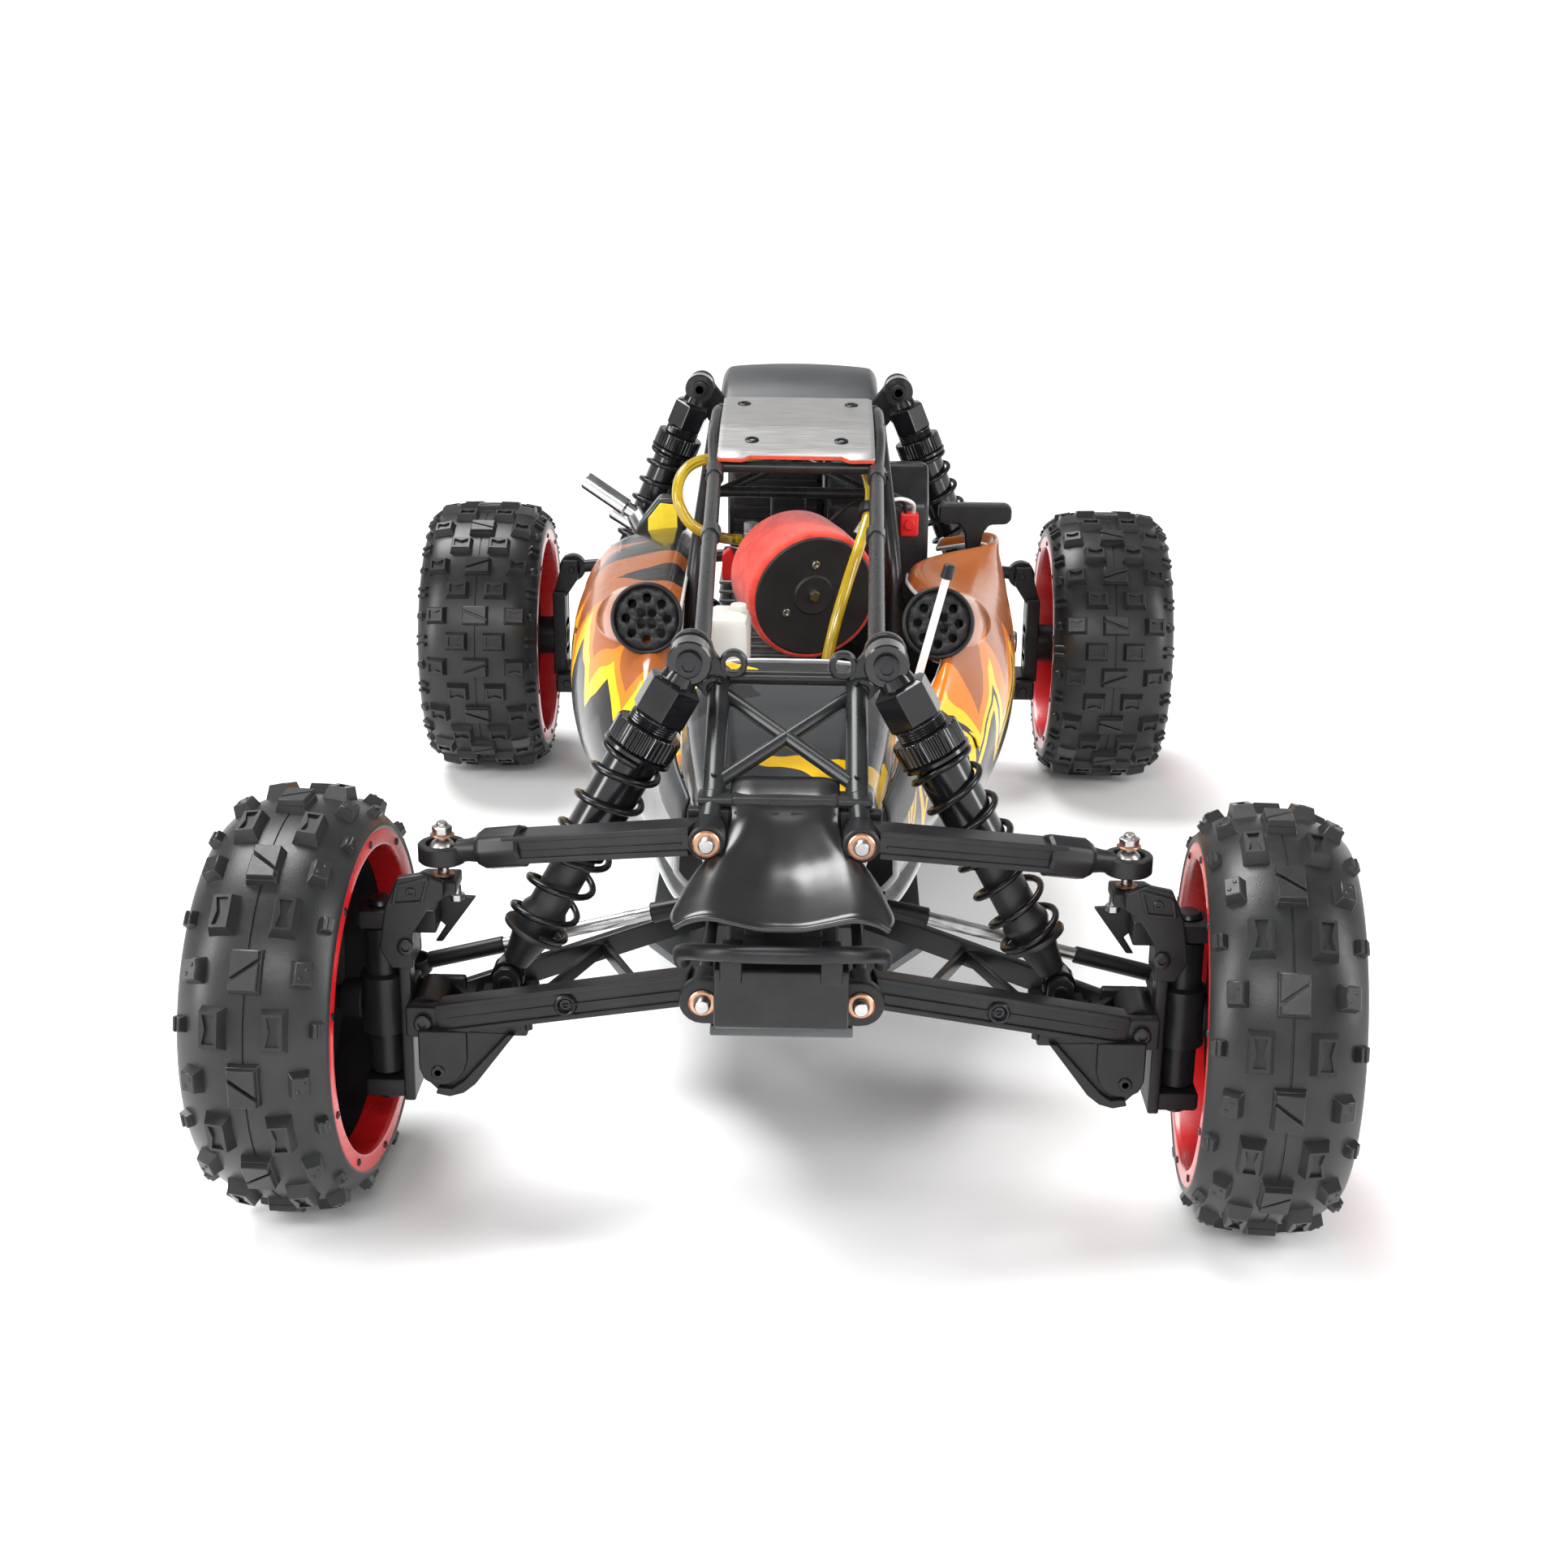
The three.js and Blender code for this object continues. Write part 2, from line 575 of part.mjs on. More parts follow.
function frontKnuckle(s) {
  const offset = FRONT.tieOuter[0] - KINGPIN_X;
  const [tx, tz] = [(KINGPIN_X + offset) * s, FRONT.tieOuter[1]];
  return join(
    rod([KINGPIN_X * s, FRONT_Y, 55], [KINGPIN_X * s, FRONT_Y, 117], 7, 10),
    rod([(KINGPIN_X + 3) * s, FRONT_Y, TYRE_RADIUS], [206 * s, FRONT_Y, TYRE_RADIUS], 5, 8),
    beam([KINGPIN_X * s, FRONT_Y + 2, 97], [tx, FRONT.tieY + 3, 97], 8, 5),
    rod([tx, FRONT.tieY, 94.5], [tx, FRONT.tieY, 99.5], 5, 10),
    rod([tx, FRONT.tieY, tz - 8], [tx, FRONT.tieY, 96], 2, 8),
  );
}

function steeringLink() {
  const y = FRONT.tieY;
  const [px, pz] = FRONT.tieInner;
  const bar = block([-28, 28], [y - 4, y + 4], [pz - 4, pz + 4]);
  const ends = both((s) => join(
    block([26 * s, 38.4 * s], [y - 6, y - 3.6], [pz - 4, pz + 4]),
    block([26 * s, 38.4 * s], [y + 3.6, y + 6], [pz - 4, pz + 4]),
    block([22 * s, 28.5 * s], [y - 6, y + 6], [pz - 4, pz + 4]),
    pinY([px * s, pz], y - 5, y + 5, 1.8),
  ));
  return join(bar, ends);
}

function tieRod(s) {
  const y = FRONT.tieY;
  const [ix, iz] = FRONT.tieInner;
  const [ox, oz] = FRONT.tieOuter;
  const at = (x) => [x * s, y, iz + ((oz - iz) * (x - ix)) / (ox - ix)];
  return join(
    eyeY([ix * s, iz], y, 5, 2.1, 6.6),
    rod(at(39.2), at(56), 3.6),
    rod(at(54), at(118), 2.6, 6),
    rod(at(116), at(147.4), 3.5),
    eyeZ([ox * s, y, oz], 9, 7, 6),
  );
}

// ---------- rear corners ----------
function rearLowerArm(s) {
  const place = (x, y, z) => [s * x, y, z];
  const [px, pz] = REAR.lowerPin;
  const [fx, fy, fz] = REAR.shockFoot;
  const inner = join(
    eyeY(flip(s, REAR.lowerPin), 210, 6.5, PIN_BORE, 12),
    eyeY(flip(s, REAR.lowerPin), 285, 6.5, PIN_BORE, 12),
  );
  const beams = join(
    beam(place(px + 4, 210, pz - 0.5), place(137, 229, 59.5), 9, 12),
    beam(place(px + 4, 285, pz - 0.5), place(137, 266, 59.5), 9, 12),
    beam(place(48, 212, 69), place(80, 278, 66), 3, 6),
    beam(place(80, 278, 66), place(114, 226, 62), 3, 6),
  );
  const fork = join(
    block([128 * s, 153 * s], [REAR_Y - 20, REAR_Y - 13], [52, 64]),
    block([128 * s, 153 * s], [REAR_Y + 13, REAR_Y + 20], [52, 64]),
    pinY(flip(s, REAR.outerPin), REAR_Y - 17, REAR_Y + 17),
  );
  const clevis = join(
    block([(fx - 9) * s, (fx + 9) * s], [fy - 9, fy + 10], [58, 66]),
    block([(fx - 5) * s, (fx + 5) * s], [fy - 9, fy - 5.5], [60, fz + 5]),
    block([(fx - 5) * s, (fx + 5) * s], [fy + 5.5, fy + 9], [60, fz + 5]),
    pinY([fx * s, fz], fy - 8, fy + 8),
  );
  return join(inner, beams, fork, clevis);
}

function rearUpperLink(s) {
  const [ix, iz] = flip(s, REAR.upperPin);
  const [ox, oz] = flip(s, REAR.linkEnd);
  const inner = eyeY([ix, iz], REAR_Y, 6.5, PIN_BORE, 10);
  const outer = eyeY([ox, oz], REAR_Y, 8.4, 4.8, 8);
  return join(inner, outer, rod([ix + 5 * s, REAR_Y, iz - 0.5], [ox - 6.4 * s, REAR_Y, oz + 0.6], 4, 10));
}

function rearHub(s) {
  const [ox, oz] = flip(s, REAR.linkEnd);
  const wall = block([147 * s, 155 * s], [REAR_Y - 12, REAR_Y + 12], [62, 116]);
  const lug = eyeY(flip(s, REAR.outerPin), REAR_Y, 7.4, PIN_BORE, 24);
  const boss = rod([150 * s, REAR_Y, TYRE_RADIUS], [172 * s, REAR_Y, TYRE_RADIUS], 12, 12);
  const ears = both((e) => slab('y', [[112, 147 * s], [112, 155 * s], [136, 149 * s], [136, 139 * s], [124, 139 * s]],
    REAR_Y + (e > 0 ? 5 : -9), REAR_Y + (e > 0 ? 9 : -5)));
  const bore = rod([140 * s, REAR_Y, TYRE_RADIUS], [180 * s, REAR_Y, TYRE_RADIUS], 5.6, 10);
  return join(cut(join(wall, lug, boss), bore), ears, pinY([ox, oz], REAR_Y - 7, REAR_Y + 7, 2.2));
}

function driveShaft(s) {
  const [ix, iz] = flip(s, REAR.driveInner);
  const [ox, oz] = flip(s, REAR.driveOuter);
  const at = (x) => [x * s, REAR_Y, iz + ((oz - iz) * (x * s - ix)) / (ox - ix)];
  return join(
    rod(at(Math.abs(ix)), at(44), 8, 10),
    rod(at(43), at(130), 4, 6),
    rod(at(128), at(Math.abs(ox)), 7.5, 10),
  );
}

// The rear rim carries its own stub axle into the hub carrier's bore.
function rearRim(s, centre) {
  const rim = rimBody(centre, REAR_TYRE_WIDTH, s, 10, 4);
  const stub = rod([154 * s, REAR_Y, TYRE_RADIUS], [215 * s, REAR_Y, TYRE_RADIUS], 5, 8);
  return join(rim, stub);
}

// How far the steering link sits to one side with the wheels at their rest angle.
function steerShift() {
  return -(FRONT.tieY - FRONT_Y) * Math.sin(REST_STEER);
}

// ---------- assembly ----------
add('chassis_plate', chassisPlate(), finish(0x3a3d40, 0.45, 0.6));
add('front_bulkhead', frontBulkhead(), NYLON);
add('front_bumper', frontBumper(), NYLON);
add('nose_cover', noseCover(), finish(0x17181a, 0.3));
add('front_tower_frame', towerFrame(), TUBE);
add('roll_cage', rollCage(), TUBE);
add('roof_plate', roofPlate(), finish(0xa7a5a3, 0.38, 0.85));
add('hood_panel', hoodPanel(), finish(0x2b2d30, 0.25));
add('side_panel_left', sidePanelBody(-1), SHELL);
add('side_panel_right', sidePanelBody(1), SHELL);
add('rear_wing', rearWing(), finish(0x2a2c2e, 0.4));
add('gearbox_housing', gearboxHousing(), NYLON);
add('engine_block', engineBlock(), finish(0x9a9c9e, 0.45, 0.8));
add('engine_shroud', engineShroud(), finish(0x151617, 0.4));
add('air_filter', airFilter(), finish(0xd63b35, 0.9));
add('fuel_tank', fuelTank(), finish(0xe8e6e0, 0.35));
add('fuel_cap', fuelCap(), NYLON);
add('fuel_line', fuelLine(), finish(0xd8b51f, 0.2));
add('receiver_box', receiverBox(), NYLON);
add('exhaust_pipe', exhaustPipe(), STEEL);
add('pull_handle', pullHandle(), NYLON);
add('steering_link', steeringLink().translate(steerShift(), 0, 0), NYLON);

for (const [label, s] of [['left', -1], ['right', 1]]) {
  const kingpin = new THREE.Group();
  kingpin.position.set(KINGPIN_X * s, FRONT_Y, 0);
  kingpin.rotation.z = REST_STEER;
  buggy.add(kingpin);
  const steered = (name, body, look) => {
    const mesh = add(name, body, look, kingpin);
    mesh.geometry.translate(-KINGPIN_X * s, -FRONT_Y, 0);
  };
  const frontWheel = [FRONT_TRACK_HALF * s, FRONT_Y, TYRE_RADIUS];
  const rearWheel = [REAR_TRACK_HALF * s, REAR_Y, TYRE_RADIUS];

  add(`front_lower_arm_${label}`, frontLowerArm(s), NYLON);
  add(`front_upper_arm_${label}`, frontUpperArm(s), NYLON);
  add(`front_carrier_${label}`, frontCarrier(s), NYLON);
  steered(`front_knuckle_${label}`, frontKnuckle(s), NYLON);
  steered(`front_rim_${label}`, rimBody(frontWheel, FRONT_TYRE_WIDTH, s, 6, 5.4), finish(0xc4121b, 0.35));
  steered(`front_tyre_${label}`, tyreBody(frontWheel, FRONT_TYRE_WIDTH), RUBBER);
  add(`front_shock_body_${label}`, shockBody(s, FRONT, 88), ANODISED);
  add(`front_shock_shaft_${label}`, shockShaft(s, FRONT, 88, 26), STEEL);
  add(`front_spring_${label}`, spring(s, FRONT), ANODISED);
  add(`tie_rod_${label}`, tieRod(s).translate(steerShift(), 0, 0), STEEL);

  add(`rear_lower_arm_${label}`, rearLowerArm(s), NYLON);
  add(`rear_upper_link_${label}`, rearUpperLink(s), NYLON);
  add(`rear_hub_${label}`, rearHub(s), NYLON);
  add(`rear_rim_${label}`, rearRim(s, rearWheel), finish(0xc4121b, 0.35));
  add(`rear_tyre_${label}`, tyreBody(rearWheel, REAR_TYRE_WIDTH), RUBBER);
  add(`rear_shock_body_${label}`, shockBody(s, REAR, 112), ANODISED);
  add(`rear_shock_shaft_${label}`, shockShaft(s, REAR, 112, 37), STEEL);
  add(`rear_spring_${label}`, spring(s, REAR), ANODISED);
  add(`drive_shaft_${label}`, driveShaft(s), STEEL);
}

export default buggy;
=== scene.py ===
"""Looks of a fifth-scale petrol buggy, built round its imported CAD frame.

Shapes are laid out in millimetres in the frame's own axes (front towards -Y) and become metres in piece().
Names with left or right are as seen from the front: left is at -X.
"""
import json
import math

import bmesh
import bpy
from mathutils import Matrix, Vector


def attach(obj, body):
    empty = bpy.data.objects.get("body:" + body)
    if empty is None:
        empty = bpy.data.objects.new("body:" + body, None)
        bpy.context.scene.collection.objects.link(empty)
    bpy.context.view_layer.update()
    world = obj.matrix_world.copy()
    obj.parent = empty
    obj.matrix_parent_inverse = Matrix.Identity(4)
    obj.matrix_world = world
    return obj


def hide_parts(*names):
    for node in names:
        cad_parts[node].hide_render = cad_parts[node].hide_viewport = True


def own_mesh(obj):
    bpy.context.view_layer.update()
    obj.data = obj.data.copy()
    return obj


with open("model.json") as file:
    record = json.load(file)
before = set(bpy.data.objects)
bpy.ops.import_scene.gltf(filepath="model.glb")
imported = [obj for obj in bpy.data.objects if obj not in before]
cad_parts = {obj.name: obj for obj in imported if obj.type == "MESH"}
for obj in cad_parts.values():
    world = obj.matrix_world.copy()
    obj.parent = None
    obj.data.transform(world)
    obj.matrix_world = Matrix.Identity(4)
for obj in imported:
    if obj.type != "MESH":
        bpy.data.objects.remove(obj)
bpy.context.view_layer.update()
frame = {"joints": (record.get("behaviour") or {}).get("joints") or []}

MM = 0.001
FRONT_Y = -321.5
REAR_Y = 248.5
AXLE_Z = 85.0
TYRE_R = 85.0
SIDES = (("left", -1), ("right", 1))
JOINTS = {j["name"]: j for j in frame["joints"]}
LOOKS = {}

# Directions in the frame.
FORWARD = (0, -1, 0)
BACK = (0, 1, 0)
UP = (0, 0, 1)

# Mesh tools: edges that turn by more than this many radians are rounded, and how far a fine rib stands out.
SHARP_TURN = 0.3
RIB_RISE = 0.022

# Hinges: the pins, the bores that turn on them and the lugs round those bores.
PIN_R = 2.6
PIN_BORE = 2.95
LUG_R = 6.8

# Steering: the kingpins' distance out, the steering arms' length and the wheels' turn at rest.
KINGPIN_X = 158
STEER_ARM = 28
STEER_REST = math.radians(-4)

# Shocks, along the line from top to foot: where the coil starts, its size, and how far its seat is from
# the foot.
COIL_START = 43
COIL_R = 12.5
COIL_WIRE_R = 1.4
COIL_PITCH = 11.2
SEAT_TO_FOOT = 22

# Tyres: how deep a lug's root is sunk in the carcass.
LUG_SINK = 1.6

# Starter: the wheel's centre in Y and Z on the shroud's outer side.
STARTER_Y = 112
STARTER_Z = 128

# The view: the camera's place in metres, its angles in degrees and its lens in millimetres.
VIEW_PLACE = (0.0069, -1.1147, 0.4451)
VIEW_YAW = -0.55
VIEW_PITCH = 18.61
VIEW_ROLL = 0.80
VIEW_LENS = 50.07

# The studio: the strength of the white surroundings and of the soft light overhead.
WORLD_STRENGTH = 0.27
OVERHEAD_ENERGY = 3.5

# Pivots of the right-hand corners; s mirrors them.
FRONT = {
    "top": (38, -301, 221), "foot": (110, -312, 92.7),
    "lower": (29.6, 108), "upper": (28.5, 169), "outer": (140, 84), "ball": (133, 148),
    "tie_in": (35, 117.5), "tie_out": (155, 88),
}
REAR = {
    "top": (60, 214, 250), "foot": (132, 222, 76),
    "lower": (32, 72), "upper": (38, 140), "outer": (146, 58), "link_end": (143, 130),
    "drive_in": (32, 88), "drive_out": (142, 85),
}


# ---------- mesh tools ----------
def merge(bm, shape):
    mesh = bpy.data.meshes.new("scratch")
    shape.to_mesh(mesh)
    shape.free()
    bm.from_mesh(mesh)
    bpy.data.meshes.remove(mesh)


def prism(bm, lower, upper, bevel=0.6, segments=2):
    """A solid between two matching outlines, its sharp edges rounded."""
    shape = bmesh.new()
    a = [shape.verts.new(p) for p in lower]
    b = [shape.verts.new(p) for p in upper]
    shape.faces.new(a)
    shape.faces.new(list(reversed(b)))
    for i in range(len(a)):
        j = (i + 1) % len(a)
        shape.faces.new((a[i], a[j], b[j], b[i]))
    bmesh.ops.recalc_face_normals(shape, faces=shape.faces)
    if bevel:
        edges = [e for e in shape.edges if e.calc_face_angle(0) > SHARP_TURN]
        bmesh.ops.bevel(shape, geom=edges, offset=bevel, offset_type="OFFSET", segments=segments,
                        profile=0.5, affect="EDGES", clamp_overlap=True)
    merge(bm, shape)


def slab(bm, axis, outline, low, high, bevel=0.6):
    """An outline extruded along an axis. Outlines are (y, z) for x, (x, z) for y and (x, y) for z."""
    place = {
        "x": lambda d, u, v: (d, u, v),
        "y": lambda d, u, v: (u, d, v),
        "z": lambda d, u, v: (u, v, d),
    }[axis]
    prism(bm, [place(low, *p) for p in outline], [place(high, *p) for p in outline], bevel)


def box(bm, xs, ys, zs, bevel=0.6):
    x, u = sorted(xs)
    y, v = ys
    slab(bm, "z", [(x, y), (u, y), (u, v), (x, v)], zs[0], zs[1], bevel)


def flipped(s, outline):
    return [(s * x, z) for x, z in outline]


def turns(count, shift=0):
    """Angles of even steps round a circle."""
    return [2 * math.pi * (i + shift) / count for i in range(count)]


def polar(x, radius, angle):
    """A point round the X axis."""
    return Vector((x, radius * math.cos(angle), radius * math.sin(angle)))


def aim(a, b, up=UP):
    """A frame at a whose X runs to b and whose Z stays near up."""
    x = (Vector(b) - Vector(a)).normalized()
    hint = Vector(up) if abs(x.dot(Vector(up))) < 0.98 else Vector(BACK)
    y = hint.cross(x).normalized()
    z = x.cross(y)
    return Matrix.Translation(a) @ Matrix((x, y, z)).transposed().to_4x4()


def beam(bm, a, b, width, height, bevel=0.8, end=None, up=UP):
    """A bar of rectangular section; end is its (width, height) at b."""
    m = aim(a, b, up)
    length = (Vector(b) - Vector(a)).length

    def ring(x, w, h):
        return [m @ Vector((x, y * w / 2, z * h / 2)) for y, z in ((-1, -1), (1, -1), (1, 1), (-1, 1))]

    prism(bm, ring(0, width, height), ring(length, *(end or (width, height))), bevel)


def spread(angle, kind):
    """How far a ring of a kind stands out at an angle: n flats, or -n for n fine ribs."""
    if kind == 0:
        return 1.0
    if kind > 0:
        step = 2 * math.pi / kind
        return math.cos(step / 2) / math.cos(angle % step - step / 2)
    return 1.0 + RIB_RISE * math.copysign(1, math.sin(-kind * angle))


def lathe(bm, profile, m, sides=32, loop=False):
    """A turned solid about the X axis of m, from (along, radius[, kind]) places."""
    rings = []
    for place in profile:
        along, radius = place[0], place[1]
        kind = place[2] if len(place) > 2 else 0
        if radius < 1e-6:
            rings.append([bm.verts.new(m @ Vector((along, 0, 0)))])
            continue
        rings.append([bm.verts.new(m @ polar(along, radius * spread(t, kind), t)) for t in turns(sides, 0.5)])
    for a, b in zip(rings, rings[1:] + (rings[:1] if loop else [])):
        join_rings(bm, a, b)
    if not loop:
        for end in (rings[0], rings[-1]):
            if len(end) > 2:
                bm.faces.new(end)


def join_rings(bm, a, b):
    n = max(len(a), len(b))
    for i in range(n):
        j = (i + 1) % n
        if len(a) == 1:
            bm.faces.new((a[0], b[i], b[j]))
        elif len(b) == 1:
            bm.faces.new((a[i], a[j], b[0]))
        else:
            bm.faces.new((a[i], a[j], b[j], b[i]))


def rod(bm, a, b, radius, end=None, sides=24, chamfer=0.5):
    length = (Vector(b) - Vector(a)).length
    far = radius if end is None else end
    c = min(chamfer, radius * 0.4, far * 0.4, length * 0.3)
    profile = [(0, 0), (0, radius - c), (c, radius), (length - c, far), (length, far - c), (length, 0)]
    lathe(bm, profile, aim(a, b), sides)


def eye(bm, centre, axis, outer, bore, width, sides=32):
    """A ring with rounded edges and a real hole."""
    h, c = width / 2, 0.6
    start = Vector(centre) - Vector(axis) * h
    m = aim(start, Vector(centre) + Vector(axis) * h)
    profile = [(c, outer), (2 * h - c, outer), (2 * h, outer - c), (2 * h, bore + 0.3), (2 * h - 0.3, bore),
               (0.3, bore), (0, bore + 0.3), (0, outer - c)]
    lathe(bm, profile, m, sides, loop=True)


def smooth_path(points, steps=8):
    """Points along a Catmull-Rom curve through the given ones."""
    p = [Vector(q) for q in points]
    p = [2 * p[0] - p[1]] + p + [2 * p[-1] - p[-2]]
    out = []
    for i in range(1, len(p) - 2):
        for k in range(steps):
            t = k / steps
            a, b, c, d = p[i - 1:i + 3]
            out.append(0.5 * ((2 * b) + (c - a) * t + (2 * a - 5 * b + 4 * c - d) * t * t
                              + (3 * b - a - 3 * c + d) * t ** 3))
    return out + [p[-2]]


def tube(bm, path, radius, sides=14):
    """A round tube swept along a path with flat ends; radius may be a list."""
    path = [Vector(p) for p in path]
    radii = radius if isinstance(radius, (list, tuple)) else [radius] * len(path)
    heading = (path[1] - path[0]).normalized()
    across = heading.orthogonal().normalized()
    rings = []
    for i, p in enumerate(path):
        ahead = path[min(i + 1, len(path) - 1)] - path[max(i - 1, 0)]
        turn = heading.rotation_difference(ahead.normalized())
        across = (turn @ across).normalized()
        heading = ahead.normalized()
        other = heading.cross(across)
        rings.append([bm.verts.new(p + (across * math.cos(t) + other * math.sin(t)) * radii[i])
                      for t in turns(sides)])
    for a, b in zip(rings, rings[1:]):
        join_rings(bm, a, b)
    bm.faces.new(rings[0])
    bm.faces.new(rings[-1])


def bent_tube(bm, points, radius, bend=9, sides=16):
    """Straight tube runs joined by short round bends."""
    p = [Vector(q) for q in points]
    path = [p[0]]
    for a, b, c in zip(p, p[1:], p[2:]):
        reach = min(bend, (b - a).length / 2.2, (c - b).length / 2.2)
        u = b + (a - b).normalized() * reach
        v = b + (c - b).normalized() * reach
        path += [(1 - t) ** 2 * u + 2 * t * (1 - t) * b + t * t * v for t in (0, 0.25, 0.5, 0.75, 1)]
    tube(bm, path + [p[-1]], radius, sides)


def grid(bm, rows):
    """One skin of quads through rows of points."""
    verts = [[bm.verts.new(p) for p in row] for row in rows]
    for a, b in zip(verts, verts[1:]):
        for i in range(len(a) - 1):
            bm.faces.new((a[i], a[i + 1], b[i + 1], b[i]))


def smooth_rows(rows, across=3, along=3):
    """The same surface with smooth curves both ways."""
    fine = [smooth_path(row, across) for row in rows]
    columns = [smooth_path([row[i] for row in fine], along) for i in range(len(fine[0]))]
    return [list(row) for row in zip(*columns)]


def screw(bm, at, towards, radius=2.2, height=1.6, flats=6):
    """A cap screw with a sunk hexagon, standing on a point."""
    m = aim(at, Vector(at) + Vector(towards).normalized())
    key = radius * 0.52
    profile = [(-0.4, radius * 0.9), (0, radius), (height - 0.3, radius), (height, radius * 0.86),
               (height, key * 1.08, flats), (height - 1.0, key, flats), (height - 1.0, 0)]
    lathe(bm, profile, m, 24)


def piece(name, bm, look, body, replaces=(), thick=None, sharp=40):
    """Turns a shape into a named piece in metres that rides on a body."""
    bmesh.ops.recalc_face_normals(bm, faces=bm.faces)
    bm.transform(Matrix.Scale(MM, 4))
    mesh = bpy.data.meshes.new(name)
    bm.to_mesh(mesh)
    bm.free()
    mesh.materials.append(LOOKS[look])
    mesh.shade_smooth()
    mesh.set_sharp_from_angle(angle=math.radians(sharp))
    obj = bpy.data.objects.new(name, mesh)
    bpy.context.scene.collection.objects.link(obj)
    if thick:
        wall = obj.modifiers.new("wall", "SOLIDIFY")
        wall.thickness = thick * MM
        wall.offset = 0
    even = obj.modifiers.new("even", "WEIGHTED_NORMAL")
    even.keep_sharp = True
    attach(obj, body)
    if replaces:
        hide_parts(*replaces)
    return obj


def nylon_body(part, label, bm):
    """A corner's nylon moulding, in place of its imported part."""
    name = f"{part}_{label}"
    piece(f"{part}_body_{label}", bm, "nylon", name, [name])


def side(s, point):
    return (s * point[0], point[1], point[2])


def placer(s):
    """Puts right-hand places on side s."""
    return lambda x, y, z: (s * x, y, z)


def raise_by(point, lift):
    return (point[0], point[1], point[2] + lift)


def i_beam(bm, a, b, web, flange, lifts):
    """A web with a flange along its top and one along its bottom; both sizes are (width, height)."""
    beam(bm, a, b, *web, 0.5)
    for lift in lifts:
        beam(bm, raise_by(a, lift), raise_by(b, lift), *flange, 0.7)


def ring_y(bm, s, place, y, outer, bore, width):
    """A bored lug whose bore lies along Y."""
    eye(bm, (s * place[0], y, place[1]), BACK, outer, bore, width)


# ---------- materials ----------
def start_look(name):
    material = bpy.data.materials.new(name)
    material.use_nodes = True
    tree = material.node_tree
    tree.nodes.clear()
    out = tree.nodes.new("ShaderNodeOutputMaterial")
    shader = tree.nodes.new("ShaderNodeBsdfPrincipled")
    coords = tree.nodes.new("ShaderNodeTexCoord")
    tree.links.new(shader.outputs["BSDF"], out.inputs["Surface"])
    LOOKS[name] = material
    return tree, shader, coords.outputs["Object"]


def node(tree, kind, links=None, values=None, **settings):
    made = tree.nodes.new(kind)
    for key, value in settings.items():
        setattr(made, key, value)
    for key, value in (values or {}).items():
        made.inputs[key].default_value = value
    for key, source in (links or {}).items():
        tree.links.new(source, made.inputs[key])
    return made


def noise(tree, vector, scale, detail=3.0, roughness=0.55, distortion=0.0):
    values = {"Scale": scale, "Detail": detail, "Roughness": roughness, "Distortion": distortion}
    return node(tree, "ShaderNodeTexNoise", {"Vector": vector}, values).outputs["Fac"]


def stretch(tree, vector, scale, turn=(0, 0, 0)):
    values = {"Scale": scale, "Rotation": turn}
    return node(tree, "ShaderNodeMapping", {"Vector": vector}, values).outputs["Vector"]


def ramp(tree, value, stops, smooth=True):
    made = node(tree, "ShaderNodeValToRGB", {"Fac": value})
    made.color_ramp.interpolation = "LINEAR" if smooth else "CONSTANT"
    elements = made.color_ramp.elements
    while len(elements) > 1:
        elements.remove(elements[-1])
    elements[0].position, elements[0].color = stops[0][0], (*stops[0][1], 1)
    for place, colour in stops[1:]:
        elements.new(place).color = (*colour, 1)
    return made.outputs["Color"]


def span(tree, value, low, high):
    made = node(tree, "ShaderNodeMapRange", {"Value": value}, {"To Min": low, "To Max": high})
    return made.outputs["Result"]


def scaled_sum(tree, links, values):
    """Input 0 times input 1, plus input 2."""
    return node(tree, "ShaderNodeMath", links, values, operation="MULTIPLY_ADD").outputs[0]


def relief(tree, shader, height, strength, depth):
    values = {"Strength": strength, "Distance": depth}
    bump = node(tree, "ShaderNodeBump", {"Height": height}, values)
    tree.links.new(bump.outputs["Normal"], shader.inputs["Normal"])


def set_sockets(shader, sockets):
    for key, value in sockets.items():
        shader.inputs[key.replace("_", " ")].default_value = value


def surface(name, dark, light, rough, patch=70, grain=2400, strength=0.3, depth=0.00008, stretched=None,
            **sockets):
    """Two near colours in soft patches, an uneven gloss and a fine grain."""
    tree, shader, place = start_look(name)
    if stretched:
        place = stretch(tree, place, stretched)
    cloud = noise(tree, place, patch, 5)
    fine = noise(tree, place, grain, 2)
    tree.links.new(ramp(tree, cloud, [(0.3, dark), (0.7, light)]), shader.inputs["Base Color"])
    tree.links.new(span(tree, cloud, rough * 0.8, rough * 1.2), shader.inputs["Roughness"])
    relief(tree, shader, fine, strength, depth)
    set_sockets(shader, sockets)


